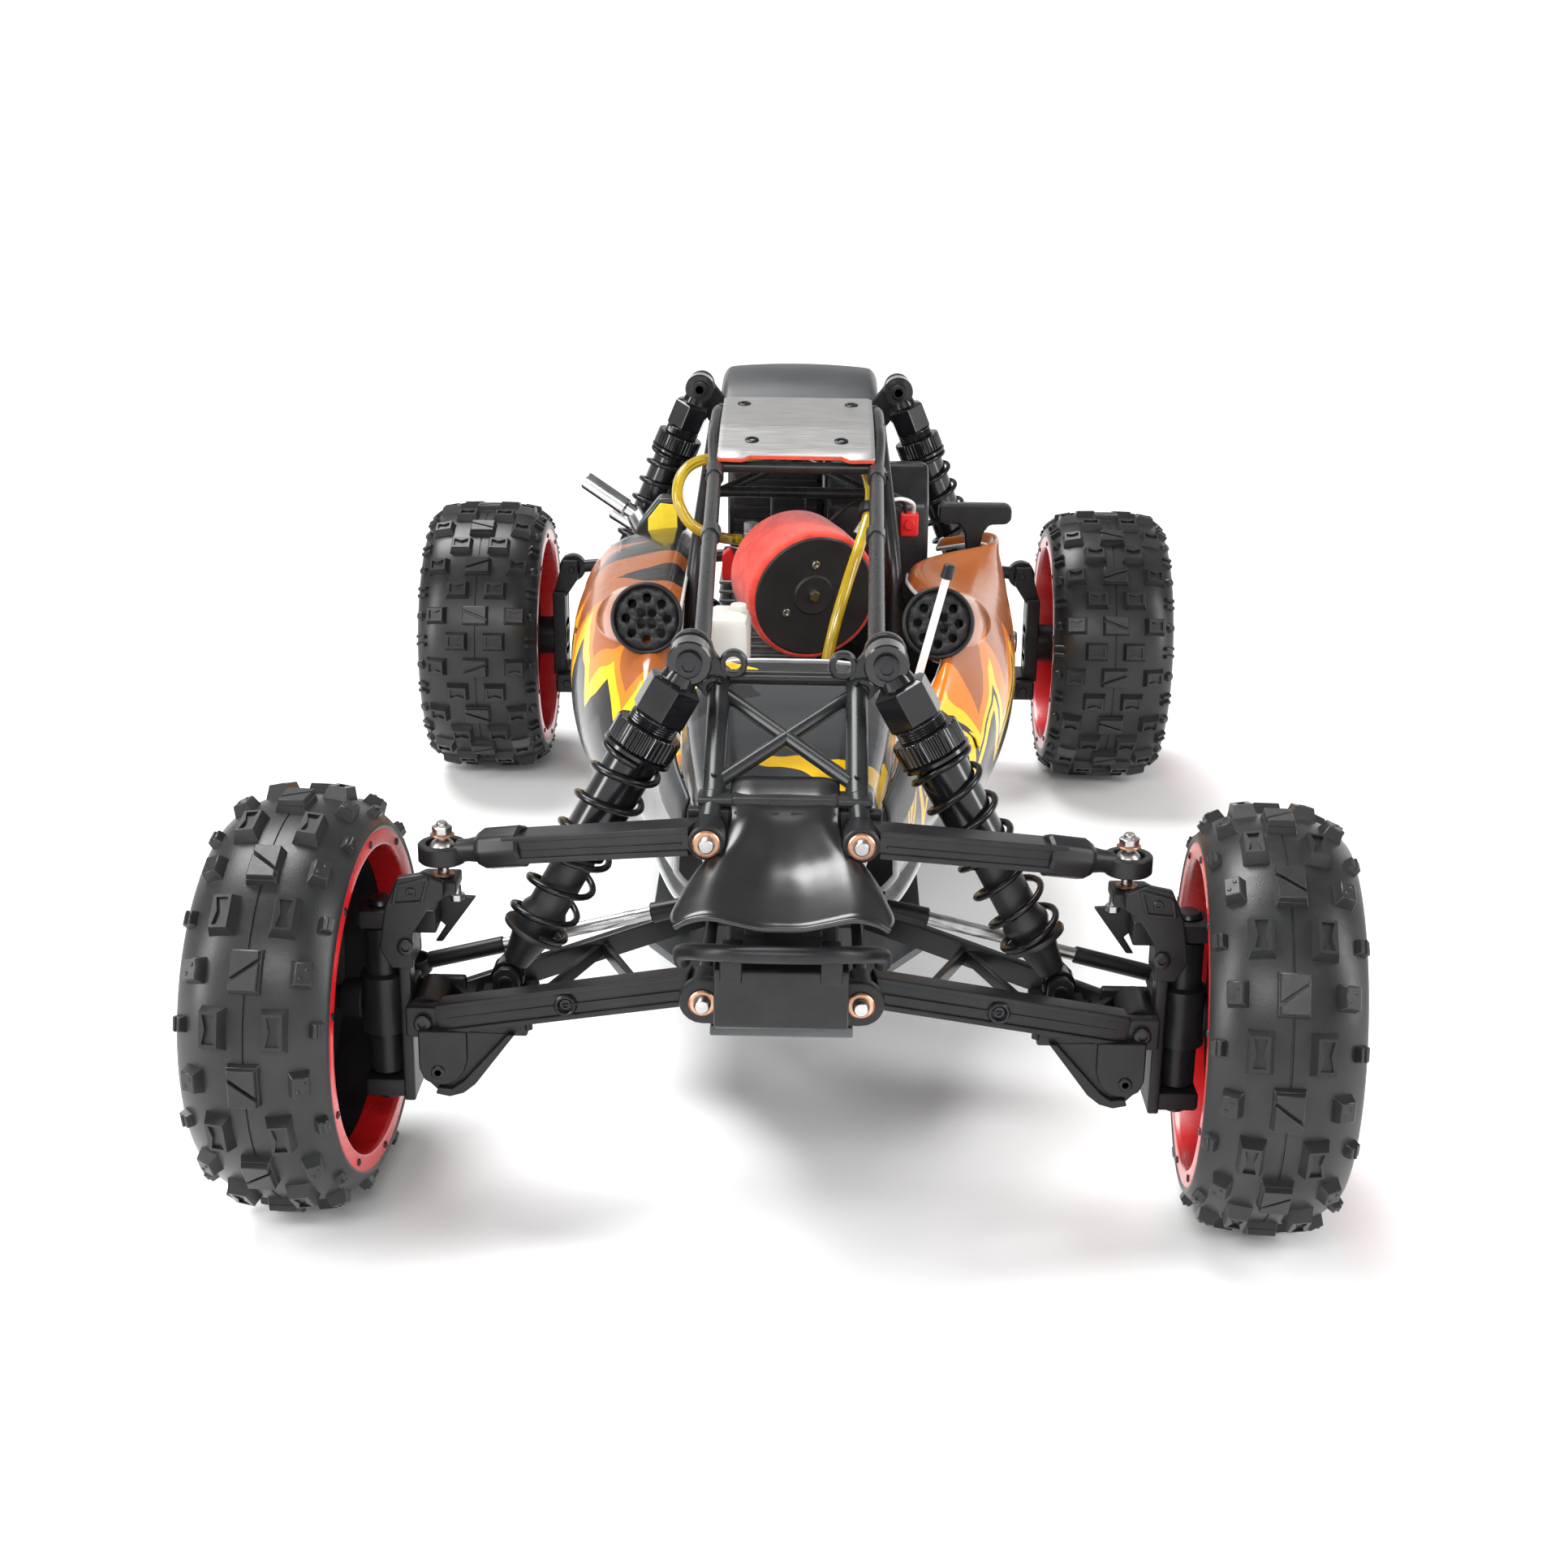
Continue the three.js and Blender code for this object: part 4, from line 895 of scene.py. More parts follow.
def front_carrier(s, label):
    """Upright with its kingpin jaws, its top frame and the ball stud."""
    bm = bmesh.new()
    p = placer(s)
    body = f"front_carrier_{label}"
    half = 11.8
    wall = [(FRONT_Y - half, 46), (FRONT_Y + half, 46), (FRONT_Y + half, 93), (FRONT_Y - 2, 93),
            (FRONT_Y - 2, 101), (FRONT_Y + half, 101), (FRONT_Y + half, 122), (FRONT_Y + 8, 126),
            (FRONT_Y - half, 126)]
    slab(bm, "x", wall, *sorted((145.5 * s, 150 * s)), 0.9)
    for low, high in ((118, 126), (46, 54)):
        box(bm, (148 * s, 166 * s), (FRONT_Y - 9, FRONT_Y + 9), (low, high), 1.6)
    neck = [(150, 120), (150, 133), (141, 138), (127, 138), (127, 133), (139, 130), (146, 120)]
    slab(bm, "y", flipped(s, neck), FRONT_Y - 8, FRONT_Y + 8, 0.9)
    face = [(152.5, 104), (157, 112), (154, 130), (149, 141.5), (139, 143.5), (131, 140), (131, 133.6),
            (137, 129.6), (144, 118), (144, 104)]
    slab(bm, "y", flipped(s, face), FRONT_Y - 13.6, FRONT_Y - 9.6, 0.9)
    corners = flipped(s, [(136.8, 141.6), (149, 138.2), (150.6, 131), (139.6, 132)])
    for (xa, za), (xb, zb) in zip(corners, corners[1:] + corners[:1]):
        beam(bm, (xa, FRONT_Y - 13.6, za), (xb, FRONT_Y - 13.6, zb), 2, 1.5, 0.4)
    shield = [(124, 121), (141, 122), (141.5, 113), (136.5, 108.5), (141, 101.5), (138, 101.5)]
    slab(bm, "y", flipped(s, shield), -301.6, -298.6, 0.6)
    box(bm, (138 * s, 149 * s), (-314, -299), (110, 120), 1.2)
    ring_y(bm, s, FRONT["outer"], FRONT_Y, 7.4, PIN_BORE, 2 * half)
    nylon_body("front_carrier", label, bm)
    bolts = bmesh.new()
    screw(bolts, p(146.4, FRONT_Y - 13.6, 113.4), FORWARD, 3.3, 1.8)
    screw(bolts, p(143.6, FRONT_Y - 13.4, 136), FORWARD, 2.0, 0.8)
    for z, top in ((126.2, 128.6), (45.8, 43.4)):
        rod(bolts, p(KINGPIN_X, FRONT_Y, z), p(KINGPIN_X, FRONT_Y, top), 5.6, 4.8)
    piece(f"front_carrier_screws_{label}", bolts, "screw_black", body)
    stud = bmesh.new()
    bx = FRONT["ball"][0]
    ball_r = 5.7
    ball = [(ball_r - ball_r * math.cos(t), ball_r * math.sin(t)) for t in turns(24)[1:12]]
    lathe(stud, [(0, 0)] + ball + [(2 * ball_r, 0)], aim(p(bx, FRONT_Y, 142.3), p(bx, FRONT_Y, 150)), 28)
    rod(stud, p(bx, FRONT_Y, 137), p(bx, FRONT_Y, 160.4), 2.2, sides=20)
    nut = [(0, 0), (0, 3.9, 6), (2.6, 4.2, 6), (3, 3.6, 6), (3, 0)]
    lathe(stud, nut, aim(p(bx, FRONT_Y, 155.7), p(bx, FRONT_Y, 158)), 36)
    rod(stud, p(131, -303.5, 121), p(131, -303.5, 127.5), 1.7, sides=16)
    lower_nut = [(0, 0), (0, 3.2, 6), (2.4, 3.2, 6), (2.4, 0)]
    lathe(stud, lower_nut, aim(p(131, -303.5, 121), p(131, -303.5, 123)), 36)
    piece(f"front_ball_stud_{label}", stud, "shaft_steel", body)
    washers = bmesh.new()
    eye(washers, p(bx, FRONT_Y, 138.9), UP, 4.4, 2.3, 1.0)
    eye(washers, p(bx, FRONT_Y, 155.1), UP, 4.8, 2.3, 1.0)
    piece(f"front_ball_washers_{label}", washers, "copper", body)


def front_knuckle(s, label):
    """Kingpin, axle and steering arm, turned to the wheels' rest angle."""
    bm = bmesh.new()
    tx, tz = FRONT["tie_out"]
    m = Matrix.Translation((KINGPIN_X * s, FRONT_Y, 0)) @ Matrix.Rotation(STEER_REST, 4, "Z")
    reach = tx - KINGPIN_X

    def p(x, y, z):
        return m @ Vector((s * x, y, z))

    kingpin = [(55, 0), (55, 6.2), (56, 7), (72, 7), (73, 9.5), (97, 9.5), (98, 7), (116, 7), (117, 6.2),
               (117, 0)]
    lathe(bm, kingpin, m @ Matrix.Rotation(-math.pi / 2, 4, "Y"), 32)
    rod(bm, p(3, 0, AXLE_Z), p(48, 0, AXLE_Z), 5)
    rod(bm, p(8, 0, AXLE_Z), p(17, 0, AXLE_Z), 8.6, 7.4)
    beam(bm, p(0, 2, 97), p(reach, STEER_ARM - 3, 97), 8, 5, 1.0)
    rod(bm, p(reach, STEER_ARM, 94.5), p(reach, STEER_ARM, 99.5), 5)
    nylon_body("front_knuckle", label, bm)
    stud = bmesh.new()
    rod(stud, p(reach, STEER_ARM, tz - 8), p(reach, STEER_ARM, 100.9), 2, sides=18)
    rod(stud, p(reach, STEER_ARM, 99.6), p(reach, STEER_ARM, 100.8), 3, sides=6)
    piece(f"tie_rod_stud_{label}", stud, "shaft_steel", f"front_knuckle_{label}")


def steering():
    """The link bar and both tie rods, shifted to the wheels' rest angle."""
    shift = -STEER_ARM * math.sin(STEER_REST)
    y = FRONT_Y + STEER_ARM
    ix, iz = FRONT["tie_in"]
    ox, oz = FRONT["tie_out"]
    bm = bmesh.new()
    box(bm, (-28 + shift, 28 + shift), (y - 4, y + 4), (iz - 4, iz + 4), 1.0)
    for _, s in SIDES:
        for near, far in ((-6, -3.6), (3.6, 6)):
            box(bm, (26 * s + shift, 39 * s + shift), (y + near, y + far), (iz - 4, iz + 4), 0.6)
        box(bm, (22 * s + shift, 28.4 * s + shift), (y - 6, y + 6), (iz - 4, iz + 4), 0.8)
        rod(bm, (ix * s + shift, y - 6.6, iz), (ix * s + shift, y + 6.6, iz), 1.8, sides=16)
    piece("steering_link_bar", bm, "nylon", "steering_link", ["steering_link"])
    for label, s in SIDES:
        def at(x):
            return (x * s + shift, y, iz + (oz - iz) * (x - ix) / (ox - ix))

        bar = bmesh.new()
        rod(bar, at(54), at(118), 2.7, sides=20)
        lathe(bar, [(0, 0), (0, 3, 6), (5, 3, 6), (5, 0)], aim(at(62), at(70)), 36)
        piece(f"tie_rod_bar_{label}", bar, "shaft_steel", f"tie_rod_{label}",
              [f"tie_rod_{label}"])
        ends = bmesh.new()
        eye(ends, at(ix), BACK, 5, 2.1, 6.6)
        rod(ends, at(38.8), at(56), 3.6, 4.2)
        rod(ends, at(116), at(147), 3.5)
        eye(ends, at(ox), UP, 9, 7, 6)
        piece(f"tie_rod_ends_{label}", ends, "nylon", f"tie_rod_{label}")


# ---------- chassis, nose and tower ----------
def chassis():
    bm = bmesh.new()
    floor = [(-27, -262), (27, -262), (62, -205), (66, 150), (40, 205), (28, 300), (-28, 300), (-40, 205),
             (-66, 150), (-62, -205)]
    slab(bm, "z", floor, 60, 64, 0.7)
    slab(bm, "x", [(-263, 60), (-260, 64), (-365, 96.4), (-366, 92.4)], -27, 27, 0.7)
    for _, s in SIDES:
        for y in (-180, -120, -40, 40, 120, 180, 260):
            screw(bm, (18 * s, y, 60.2), (0, 0, -1), 3, 1.2)
        box(bm, (44 * s, 62 * s), (-196, -188), (63.6, 74), 1.0)
    piece("chassis_plate_skin", bm, "chassis_alloy", "chassis", ["chassis_plate"])


def bulkhead():
    bm = bmesh.new()
    wall = [(-362, 96.2), (-274, 69), (-274, 123), (-285, 123), (-285, 103), (-332, 103), (-332, 176),
            (-348, 176), (-348, 120), (-366, 118), (-366, 97.5)]
    slab(bm, "x", wall, -21, 21, 1.2)
    ends = [(FRONT["lower"][0] + 9 * math.cos(t), FRONT["lower"][1] + 9 * math.sin(t))
            for t in (math.radians(-90 + 18 * k) for k in range(11))]
    plate = ends + [(-x, z) for x, z in reversed(ends)]
    slab(bm, "y", plate, -370.5, -365, 1.2)
    slab(bm, "y", plate, -274.5, -269, 1.2)
    for _, s in SIDES:
        (lx, lz), (ux, uz) = FRONT["lower"], FRONT["upper"]
        rod(bm, (lx * s, -372, lz), (lx * s, -268, lz), PIN_R)
        rod(bm, (lx * s, -369.8, lz), (lx * s, -364, lz), 8.4)
        box(bm, (20 * s, 36.5 * s), (-347, -341), (161, 176), 1.4)
        rod(bm, (ux * s, -366, uz), (ux * s, -342, uz), PIN_R)
        box(bm, (7 * s, 15 * s), (-349.6, -346), (126, 170), 1.0)
        box(bm, (2 * s, 19 * s), (-349, -346), (172, 176), 0.6)
    piece("front_bulkhead_body", bm, "nylon", "chassis", ["front_bulkhead"])
    bolts, washers, dark = bmesh.new(), bmesh.new(), bmesh.new()
    for _, s in SIDES:
        (lx, lz), (ux, uz) = FRONT["lower"], FRONT["upper"]
        rod(bolts, (lx * s, -372.2, lz), (lx * s, -375.2, lz), 3.3, 2.9, 20)
        eye(washers, (lx * s, -371.2, lz), BACK, 5.2, 2.7, 1.0)
        rod(bolts, (ux * s, -365.6, uz), (ux * s, -368.6, uz), 3.3, 2.9, 20)
        eye(washers, (ux * s, -365.4, uz), BACK, 5.2, 2.7, 1.0)
        screw(dark, (11 * s, -349.6, 165), FORWARD, 2.4, 1.2)
        screw(dark, (11 * s, -349.6, 131), FORWARD, 2.4, 1.2)
    piece("front_pin_ends", bolts, "shaft_steel", "chassis")
    piece("front_pin_washers", washers, "copper", "chassis")
    piece("bulkhead_screws", dark, "screw_black", "chassis")


def front_bumper():
    """Skid face with its bent hoop above."""
    bm = bmesh.new()
    skid = [(-374.5, 101), (-379, 101.5), (-392, 108), (-394, 131), (-388, 134), (-385, 131),
            (-383, 111), (-374.5, 104)]
    slab(bm, "x", skid, -24.5, 24.5, 1.2)
    arch = [(-37, -372.5, 126), (-36, -384, 134), (-26, -398, 140), (-12, -404, 142), (12, -404, 142),
            (26, -398, 140), (36, -384, 134), (37, -372.5, 126)]
    tube(bm, smooth_path(arch, 6), 3.2, 20)
    for _, s in SIDES:
        box(bm, (14 * s, 22 * s), (-402, -387), (129, 141), 1.2)
    piece("front_bumper_body", bm, "nylon", "chassis", ["front_bumper"])


def nose_cover():
    """Gloss cover over the nose: a sunk middle channel between two cheeks that flare to a wide lip."""
    bm = bmesh.new()

    def row(y, z, half, drop, dip):
        places = ((-1, -drop), (-0.88, -drop * 0.35), (-0.68, 0), (-0.45, -dip * 0.45),
                  (-0.22, -dip * 0.92), (0, -dip))
        left = [(half * x, y, z + lift) for x, lift in places]
        return left + [(-x, v, w) for x, v, w in left[-2::-1]]

    rows = [row(-331, 183.4, 20, 2, 0), row(-344, 179.6, 20, 2, 0.4), row(-350.5, 173.4, 20, 3, 2.4),
            row(-358, 168, 25, 5, 4.4), row(-366, 163.8, 33, 8, 5.6), row(-376, 160.4, 37, 9, 5.6),
            row(-388, 157.4, 39.5, 8, 5), row(-401, 154.6, 38, 4, 4)]
    grid(bm, smooth_rows(rows, 4, 4))
    piece("nose_cover_skin", bm, "gloss_black", "chassis", ["nose_cover"], thick=2.0,
          sharp=60)
    lip = bmesh.new()
    edge = [(-38, -400.8, 150.6), (-33.4, -401.3, 153.2), (-25.8, -401.5, 154.6), (-17, -401.5, 152.8),
            (-8.4, -401.4, 150.9), (0, -401.4, 150.6), (8.4, -401.4, 150.9), (17, -401.5, 152.8),
            (25.8, -401.5, 154.6), (33.4, -401.3, 153.2), (38, -400.8, 150.6)]
    tube(lip, smooth_path(edge, 5), 1.15, 12)
    piece("nose_cover_lip", lip, "gloss_black", "chassis", sharp=60)


def ear(bm, s, centre, radius, root, near, far):
    """A rounded ear round a pivot, running down to its root corners."""
    outline = [(centre[0] * s + s * radius * math.cos(t), centre[1] + radius * math.sin(t))
               for t in (math.radians(-50 + 23 * k) for k in range(11))]
    slab(bm, "y", outline + flipped(s, root), near, far, 1.0)


def tower():
    bm = bmesh.new()
    box(bm, (-20, 20), (-347, -331), (176.4, 181), 1.4)
    for _, s in SIDES:
        box(bm, (18 * s, 33 * s), (-346, -333), (176.4, 180), 1.6)
        rod(bm, (27 * s, -339, 178), (27 * s, -280, 211), 4.4)
        rod(bm, (28.5 * s, -352, 170), (27 * s, -337, 179), 4.4)
        ear(bm, s, (38, 221), 8.6, ((24, 214), (24, 203), (33, 203)), -288.5, -283.5)
        rod(bm, (38 * s, -309, 221), (38 * s, -285, 221), 4)
        rod(bm, (27 * s, -334, 181.5), (-27 * s, -289, 205.5), 2.8)
        eye(bm, (21.6 * s, -286.4, 216), BACK, 5.6, 3.2, 4.6)
        rod(bm, (29.5 * s, -288, 206.6), (29.5 * s, -290.4, 206.6), 4.8)
    rod(bm, (-27, -283, 209.5), (27, -283, 209.5), 3)
    piece("front_tower_tubes", bm, "cage_tube", "chassis", ["front_tower_frame"])
    dark = bmesh.new()
    for _, s in SIDES:
        screw(dark, (38 * s, -307.2, 221), FORWARD, 5.0, 3.0)
        screw(dark, (29.5 * s, -290.2, 206.6), FORWARD, 2.6, 1.4)
        for y, z in ((-332, 182.3), (-289, 206.2)):
            rod(dark, (27 * s, y - 2.6, z + 2.9), (27 * s, y - 2.2, z + 3.9), 1.3, sides=14)
    piece("front_tower_screws", dark, "screw_black", "chassis")


def cage():
    bm = bmesh.new()
    front, bend, hoop, rear = (42, 13, 239), (44, 48, 248.5), (44, 72, 251.4), (44, 104, 255)
    for _, s in SIDES:
        rail = [side(s, p) for p in ((35, -276, 214), front, bend, hoop, rear, (34, 228, 218))]
        bent_tube(bm, rail, 3.6, 16, 22)
        bent_tube(bm, [side(s, p) for p in (hoop, (53, 20, 185), (59, 0, 66.5))], 4.2, 18, 22)
        rod(bm, side(s, (40, 150, 240)), side(-s, (49, 54, 214)), 2.8)
        for p, q in (((38.6, -110, 228), (38.9, -98, 228.9)), ((41.4, -8, 236.8), (42, 8, 238.6))):
            rod(bm, side(s, p), side(s, q), 4.7)
        rod(bm, side(s, (35.1, -272, 214.3)), side(s, (35.4, -262, 215.2)), 4.6)
    for x, y, z in (front, rear, (49, 54, 218)):
        rod(bm, (-x, y, z), (x, y, z), 3)
    piece("roll_cage_tubes", bm, "cage_tube", "chassis", ["roll_cage"])
    dark = bmesh.new()
    for _, s in SIDES:
        screw(dark, side(s, (46.6, 1, 237.9)), (s, 0, 0), 2.2, 1.4)
        screw(dark, side(s, (39.7, -266, 214.8)), (s, 0, 0), 2.2, 1.2)
    piece("roll_cage_screws", dark, "screw_black", "chassis")


def roof():
    bm = bmesh.new()
    outline = [(-41, 10.5), (-38.5, 8), (-28, 8), (-24, 12), (24, 12), (28, 8), (38.5, 8), (41, 10.5)]

    def lift(y):
        return 242.4 + (y - 8) * 0.2519 if y < 48.5 else 252.6 + (y - 48.5) * 0.1111

    rows = [[(x, y, lift(y) + 1.1) for x, y in outline]]
    for y in (20, 30, 40, 45, 48.5, 52, 60, 75, 92, 104):
        rows.append([(x, y, lift(y) + 1.1) for x, _ in outline])
    rows.append([(x * (0.95 if abs(x) > 38 else 1), 107, lift(107) + 1.1) for x, _ in outline])
    grid(bm, rows)
    made = piece("roof_plate_sheet", bm, "roof_metal", "chassis", ["roof_plate"],
                 thick=2.2, sharp=30)
    soften = made.modifiers.new("soften", "BEVEL")
    soften.width = 0.4 * MM
    soften.segments = 2
    edge = bmesh.new()
    corners = [(-40.6, 8.6), (-28, 7.9), (-24, 11.9), (24, 11.9), (28, 7.9), (40.6, 8.6)]
    for (x, y), (u, v) in zip(corners, corners[1:]):
        beam(edge, (x, y - 0.4, lift(y) + 1.0), (u, v - 0.4, lift(v) + 1.0), 0.8, 1.9, 0.25)
    piece("roof_front_edge", edge, "edge_red", "chassis")
    dark = bmesh.new()
    for x, y in ((23.5, 30), (-23.5, 30), (29.5, 92), (-29.5, 92)):
        tilt = (0, -0.25 if y < 48 else -0.11, 1)
        screw(dark, (x, y, lift(y) + 2.1), tilt, 3.7, 0.9)
    piece("roof_screws", dark, "screw_black", "chassis")


def hood():
    bm = bmesh.new()

    def row(y, z, half):
        z -= 1.1
        return [(-half, y, z - 24), (-half * 0.97, y, z - 15), (-half * 0.9, y, z - 6),
                (-half * 0.55, y, z), (0, y, z + 0.8), (half * 0.55, y, z), (half * 0.9, y, z - 6),
                (half * 0.97, y, z - 15), (half, y, z - 24)]

    rows = [row(-198, 193, 46), row(-240, 189, 44), row(-285, 181, 38), row(-327, 171, 30)]
    fine = smooth_rows(rows, 4, 8)
    grid(bm, fine)
    piece("hood_skin", bm, "hood_print", "chassis", ["hood_panel"], thick=1.8, sharp=60)
    edge = bmesh.new()
    for line, radius in ((fine[-1], 1.3), (fine[0], 1.3), ([r[0] for r in fine], 1.2),
                         ([r[-1] for r in fine], 1.2)):
        tube(edge, line, radius, 10)
    piece("hood_edges", edge, "clear_edge", "chassis", sharp=60)
    post = bmesh.new()
    rod(post, (0.5, -320, 170), (0.5, -320, 180), 2.6, 2.2)
    rod(post, (0.5, -320, 171.6), (0.5, -320, 173.4), 5.4, 5.0)
    loop = [(7, -322, 175.8), (0.5, -323, 176.2), (-7, -322.4, 175.8), (-9.4, -319.8, 175.8),
            (-7, -317, 175.8), (0.5, -317.2, 176.2), (5, -317.4, 175.8)]
    tube(post, smooth_path(loop, 5), 0.65, 8)
    piece("hood_clip", post, "screw_black", "chassis")


def panel_rows(s):
    """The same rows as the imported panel, nose to tail."""
    def section(y, top, out, low, edges):
        xs = (*edges, out, out * 0.98, out * 0.8, min(66, out * 0.9))
        zs = (top - 6, top, top - 9, top - 36, (top + low) / 2 - 14, low + 4, low)
        return [(s * x, y, z) for x, z in zip(xs, zs)]

    def flank(y, top, out, low, cut_back):
        inner = cut_back if s > 0 else 59
        edges = [max(x, inner + 3 * i) for i, x in enumerate((59, 70, out * 0.86))]
        return section(y, top, out, low, edges)

    return [section(-262, 160, 47, 104, (40, 43, 45)), section(-215, 159, 57, 92, (45, 50, 54)),
            section(-165, 154, 68, 87, (52, 59, 64)), flank(-128, 152, 78, 84, 59),
            flank(-92, 170, 98, 70, 74), flank(-40, 180, 112, 66, 76), flank(30, 186, 119, 66, 62),
            flank(74, 188, 120, 68, 107), flank(108, 187, 119, 68, 107), flank(142, 176, 104, 72, 84)]


def side_panel(s, label):
    """Thin printed shell with light cut edges, a vent cup and body clips."""
    bm = bmesh.new()
    fine = smooth_rows([[(x - 1.2 * s, y, z - 1.2) for x, y, z in row] for row in panel_rows(s)], 5, 5)
    grid(bm, fine)
    look = f"flames_{label}"
    piece(f"side_panel_skin_{label}", bm, look, "chassis", [f"side_panel_{label}"],
          thick=1.8, sharp=75)
    edge = bmesh.new()
    for line in (fine[0], fine[-1], [r[0] for r in fine], [r[-1] for r in fine]):
        tube(edge, line, 1.35, 10)
    piece(f"side_panel_edges_{label}", edge, "clear_edge", "chassis", sharp=60)
    vent_cup(s, label, look)
    flap = bmesh.new()
    flap_rows = (((48, -236, 176), (53, -236, 168), (55, -236, 156)),
                 ((46, -262, 168), (50, -262, 163), (51, -262, 150)),
                 ((39, -288, 160), (41, -290, 154), (41, -290, 143)))
    grid(flap, smooth_rows([[side(s, p) for p in row] for row in flap_rows], 4, 4))
    piece(f"side_flap_{label}", flap, "nylon_grey", "chassis", thick=1.6, sharp=60)
    clip = bmesh.new()
    rod(clip, (103 * s, 0, 150), (113.6 * s, 0, 149), 2.4)
    rod(clip, (112 * s, 0, 149), (113.4 * s, 0, 149), 5.6)
    loop = [(114 * s, -4, 153), (114.6 * s, 0, 154), (114.6 * s, 5, 150.4), (114.6 * s, 4, 146),
            (114.4 * s, -3, 146.4)]
    tube(clip, smooth_path(loop, 5), 0.7, 8)
    piece(f"side_clip_{label}", clip, "screw_black", "chassis")


def vent_cup(s, label, look):
    """Round intake at the front of a panel: rim, tapering cup and a plate with twelve holes."""
    tilt = math.radians(17)
    centre = Vector((70.5 * s, -92, 184))
    inward = Vector((0, math.cos(tilt), -math.sin(tilt)))
    m = aim(centre, centre + inward)
    bm = bmesh.new()
    profile = [(14, 0), (14, 11.4), (3.4, 15.2), (0.9, 15.6), (0, 16.2), (0, 17.0), (1.0, 17.6),
               (4, 17.3), (16, 13.4), (16, 0)]
    lathe(bm, profile, m, 56)
    piece(f"vent_cup_{label}", bm, "nylon", "chassis", sharp=60)
    cowl = bmesh.new()
    spine = smooth_path([side(s, q) for q in ((73, -76.6, 179), (75, -64, 175), (80, -42, 169),
                                              (86, -10, 160), (90, 20, 152))], 6)
    radii = [14.5 + 4.5 * math.sin(math.pi * i / (len(spine) - 1)) for i in range(len(spine))]
    tube(cowl, spine, radii, 36)
    piece(f"vent_cowl_{label}", cowl, look, "chassis", sharp=60)
    plate = bmesh.new()
    rings = [(0, 0, 15.3, 40)]
    for count, r, turn in ((4, 3.7, 0.5), (8, 10.0, 0.0)):
        rings += [(r * math.cos(t), r * math.sin(t), 2.25, 16) for t in turns(count, turn)]
    for u, v, radius, sides in rings:
        loop = [plate.verts.new(m @ Vector((2.6, u + radius * math.cos(t), v + radius * math.sin(t))))
                for t in turns(sides)]
        for a, b in zip(loop, loop[1:] + loop[:1]):
            plate.edges.new((a, b))
    bmesh.ops.triangle_fill(plate, use_beauty=True, edges=plate.edges)
    piece(f"vent_plate_{label}", plate, "nylon", "chassis", thick=1.6)


def fin():
    """Upright fin on the left panel, with a yellow stripe down its front."""
    bm = bmesh.new()
    outline = [(-62.5, 178), (-62.5, 196), (-68, 203.4), (-78, 203.6), (-91.5, 186), (-91.5, 178)]
    slab(bm, "y", outline, 105, 121, 2.0)
    piece("left_fin", bm, "gloss_black", "chassis")
    stripe = bmesh.new()
    slab(stripe, "y", [(-84, 179), (-67, 179), (-67.4, 200), (-77, 201), (-84, 192)], 103.9, 107, 0.6)
    piece("left_fin_stripe", stripe, "yellow_tag", "chassis")


def wing():
    bm = bmesh.new()

    def row(y, edge, crown):
        shoulder = edge + (crown - edge) * 0.8
        places = ((-48, edge), (-45.5, edge + (shoulder - edge) * 0.7), (-40, shoulder), (-14, crown),
                  (14, crown), (40, shoulder), (45.5, edge + (shoulder - edge) * 0.7), (48, edge))
        return [(x, y, z - 1.5) for x, z in places]

    fine = smooth_rows([row(241, 236, 239), row(262, 242, 248), row(282, 245, 252.5),
                        row(300, 246, 254)], 5, 5)
    grid(bm, fine)
    piece("rear_wing_blade", bm, "wing_plastic", "chassis", ["rear_wing"], thick=2.6,
          sharp=60)
    stalk = bmesh.new()
    slab(stalk, "x", [(236.4, 212), (252, 212), (256, 240), (236.4, 236)], -9, 9, 1.0)
    for x in (-22, 0, 22):
        tube(stalk, smooth_path([(x, 243, 236), (x, 262, 244.6), (x, 282, 249.4), (x, 298, 251)], 4), 1.6, 10)
    piece("rear_wing_stalk", stalk, "nylon", "chassis")


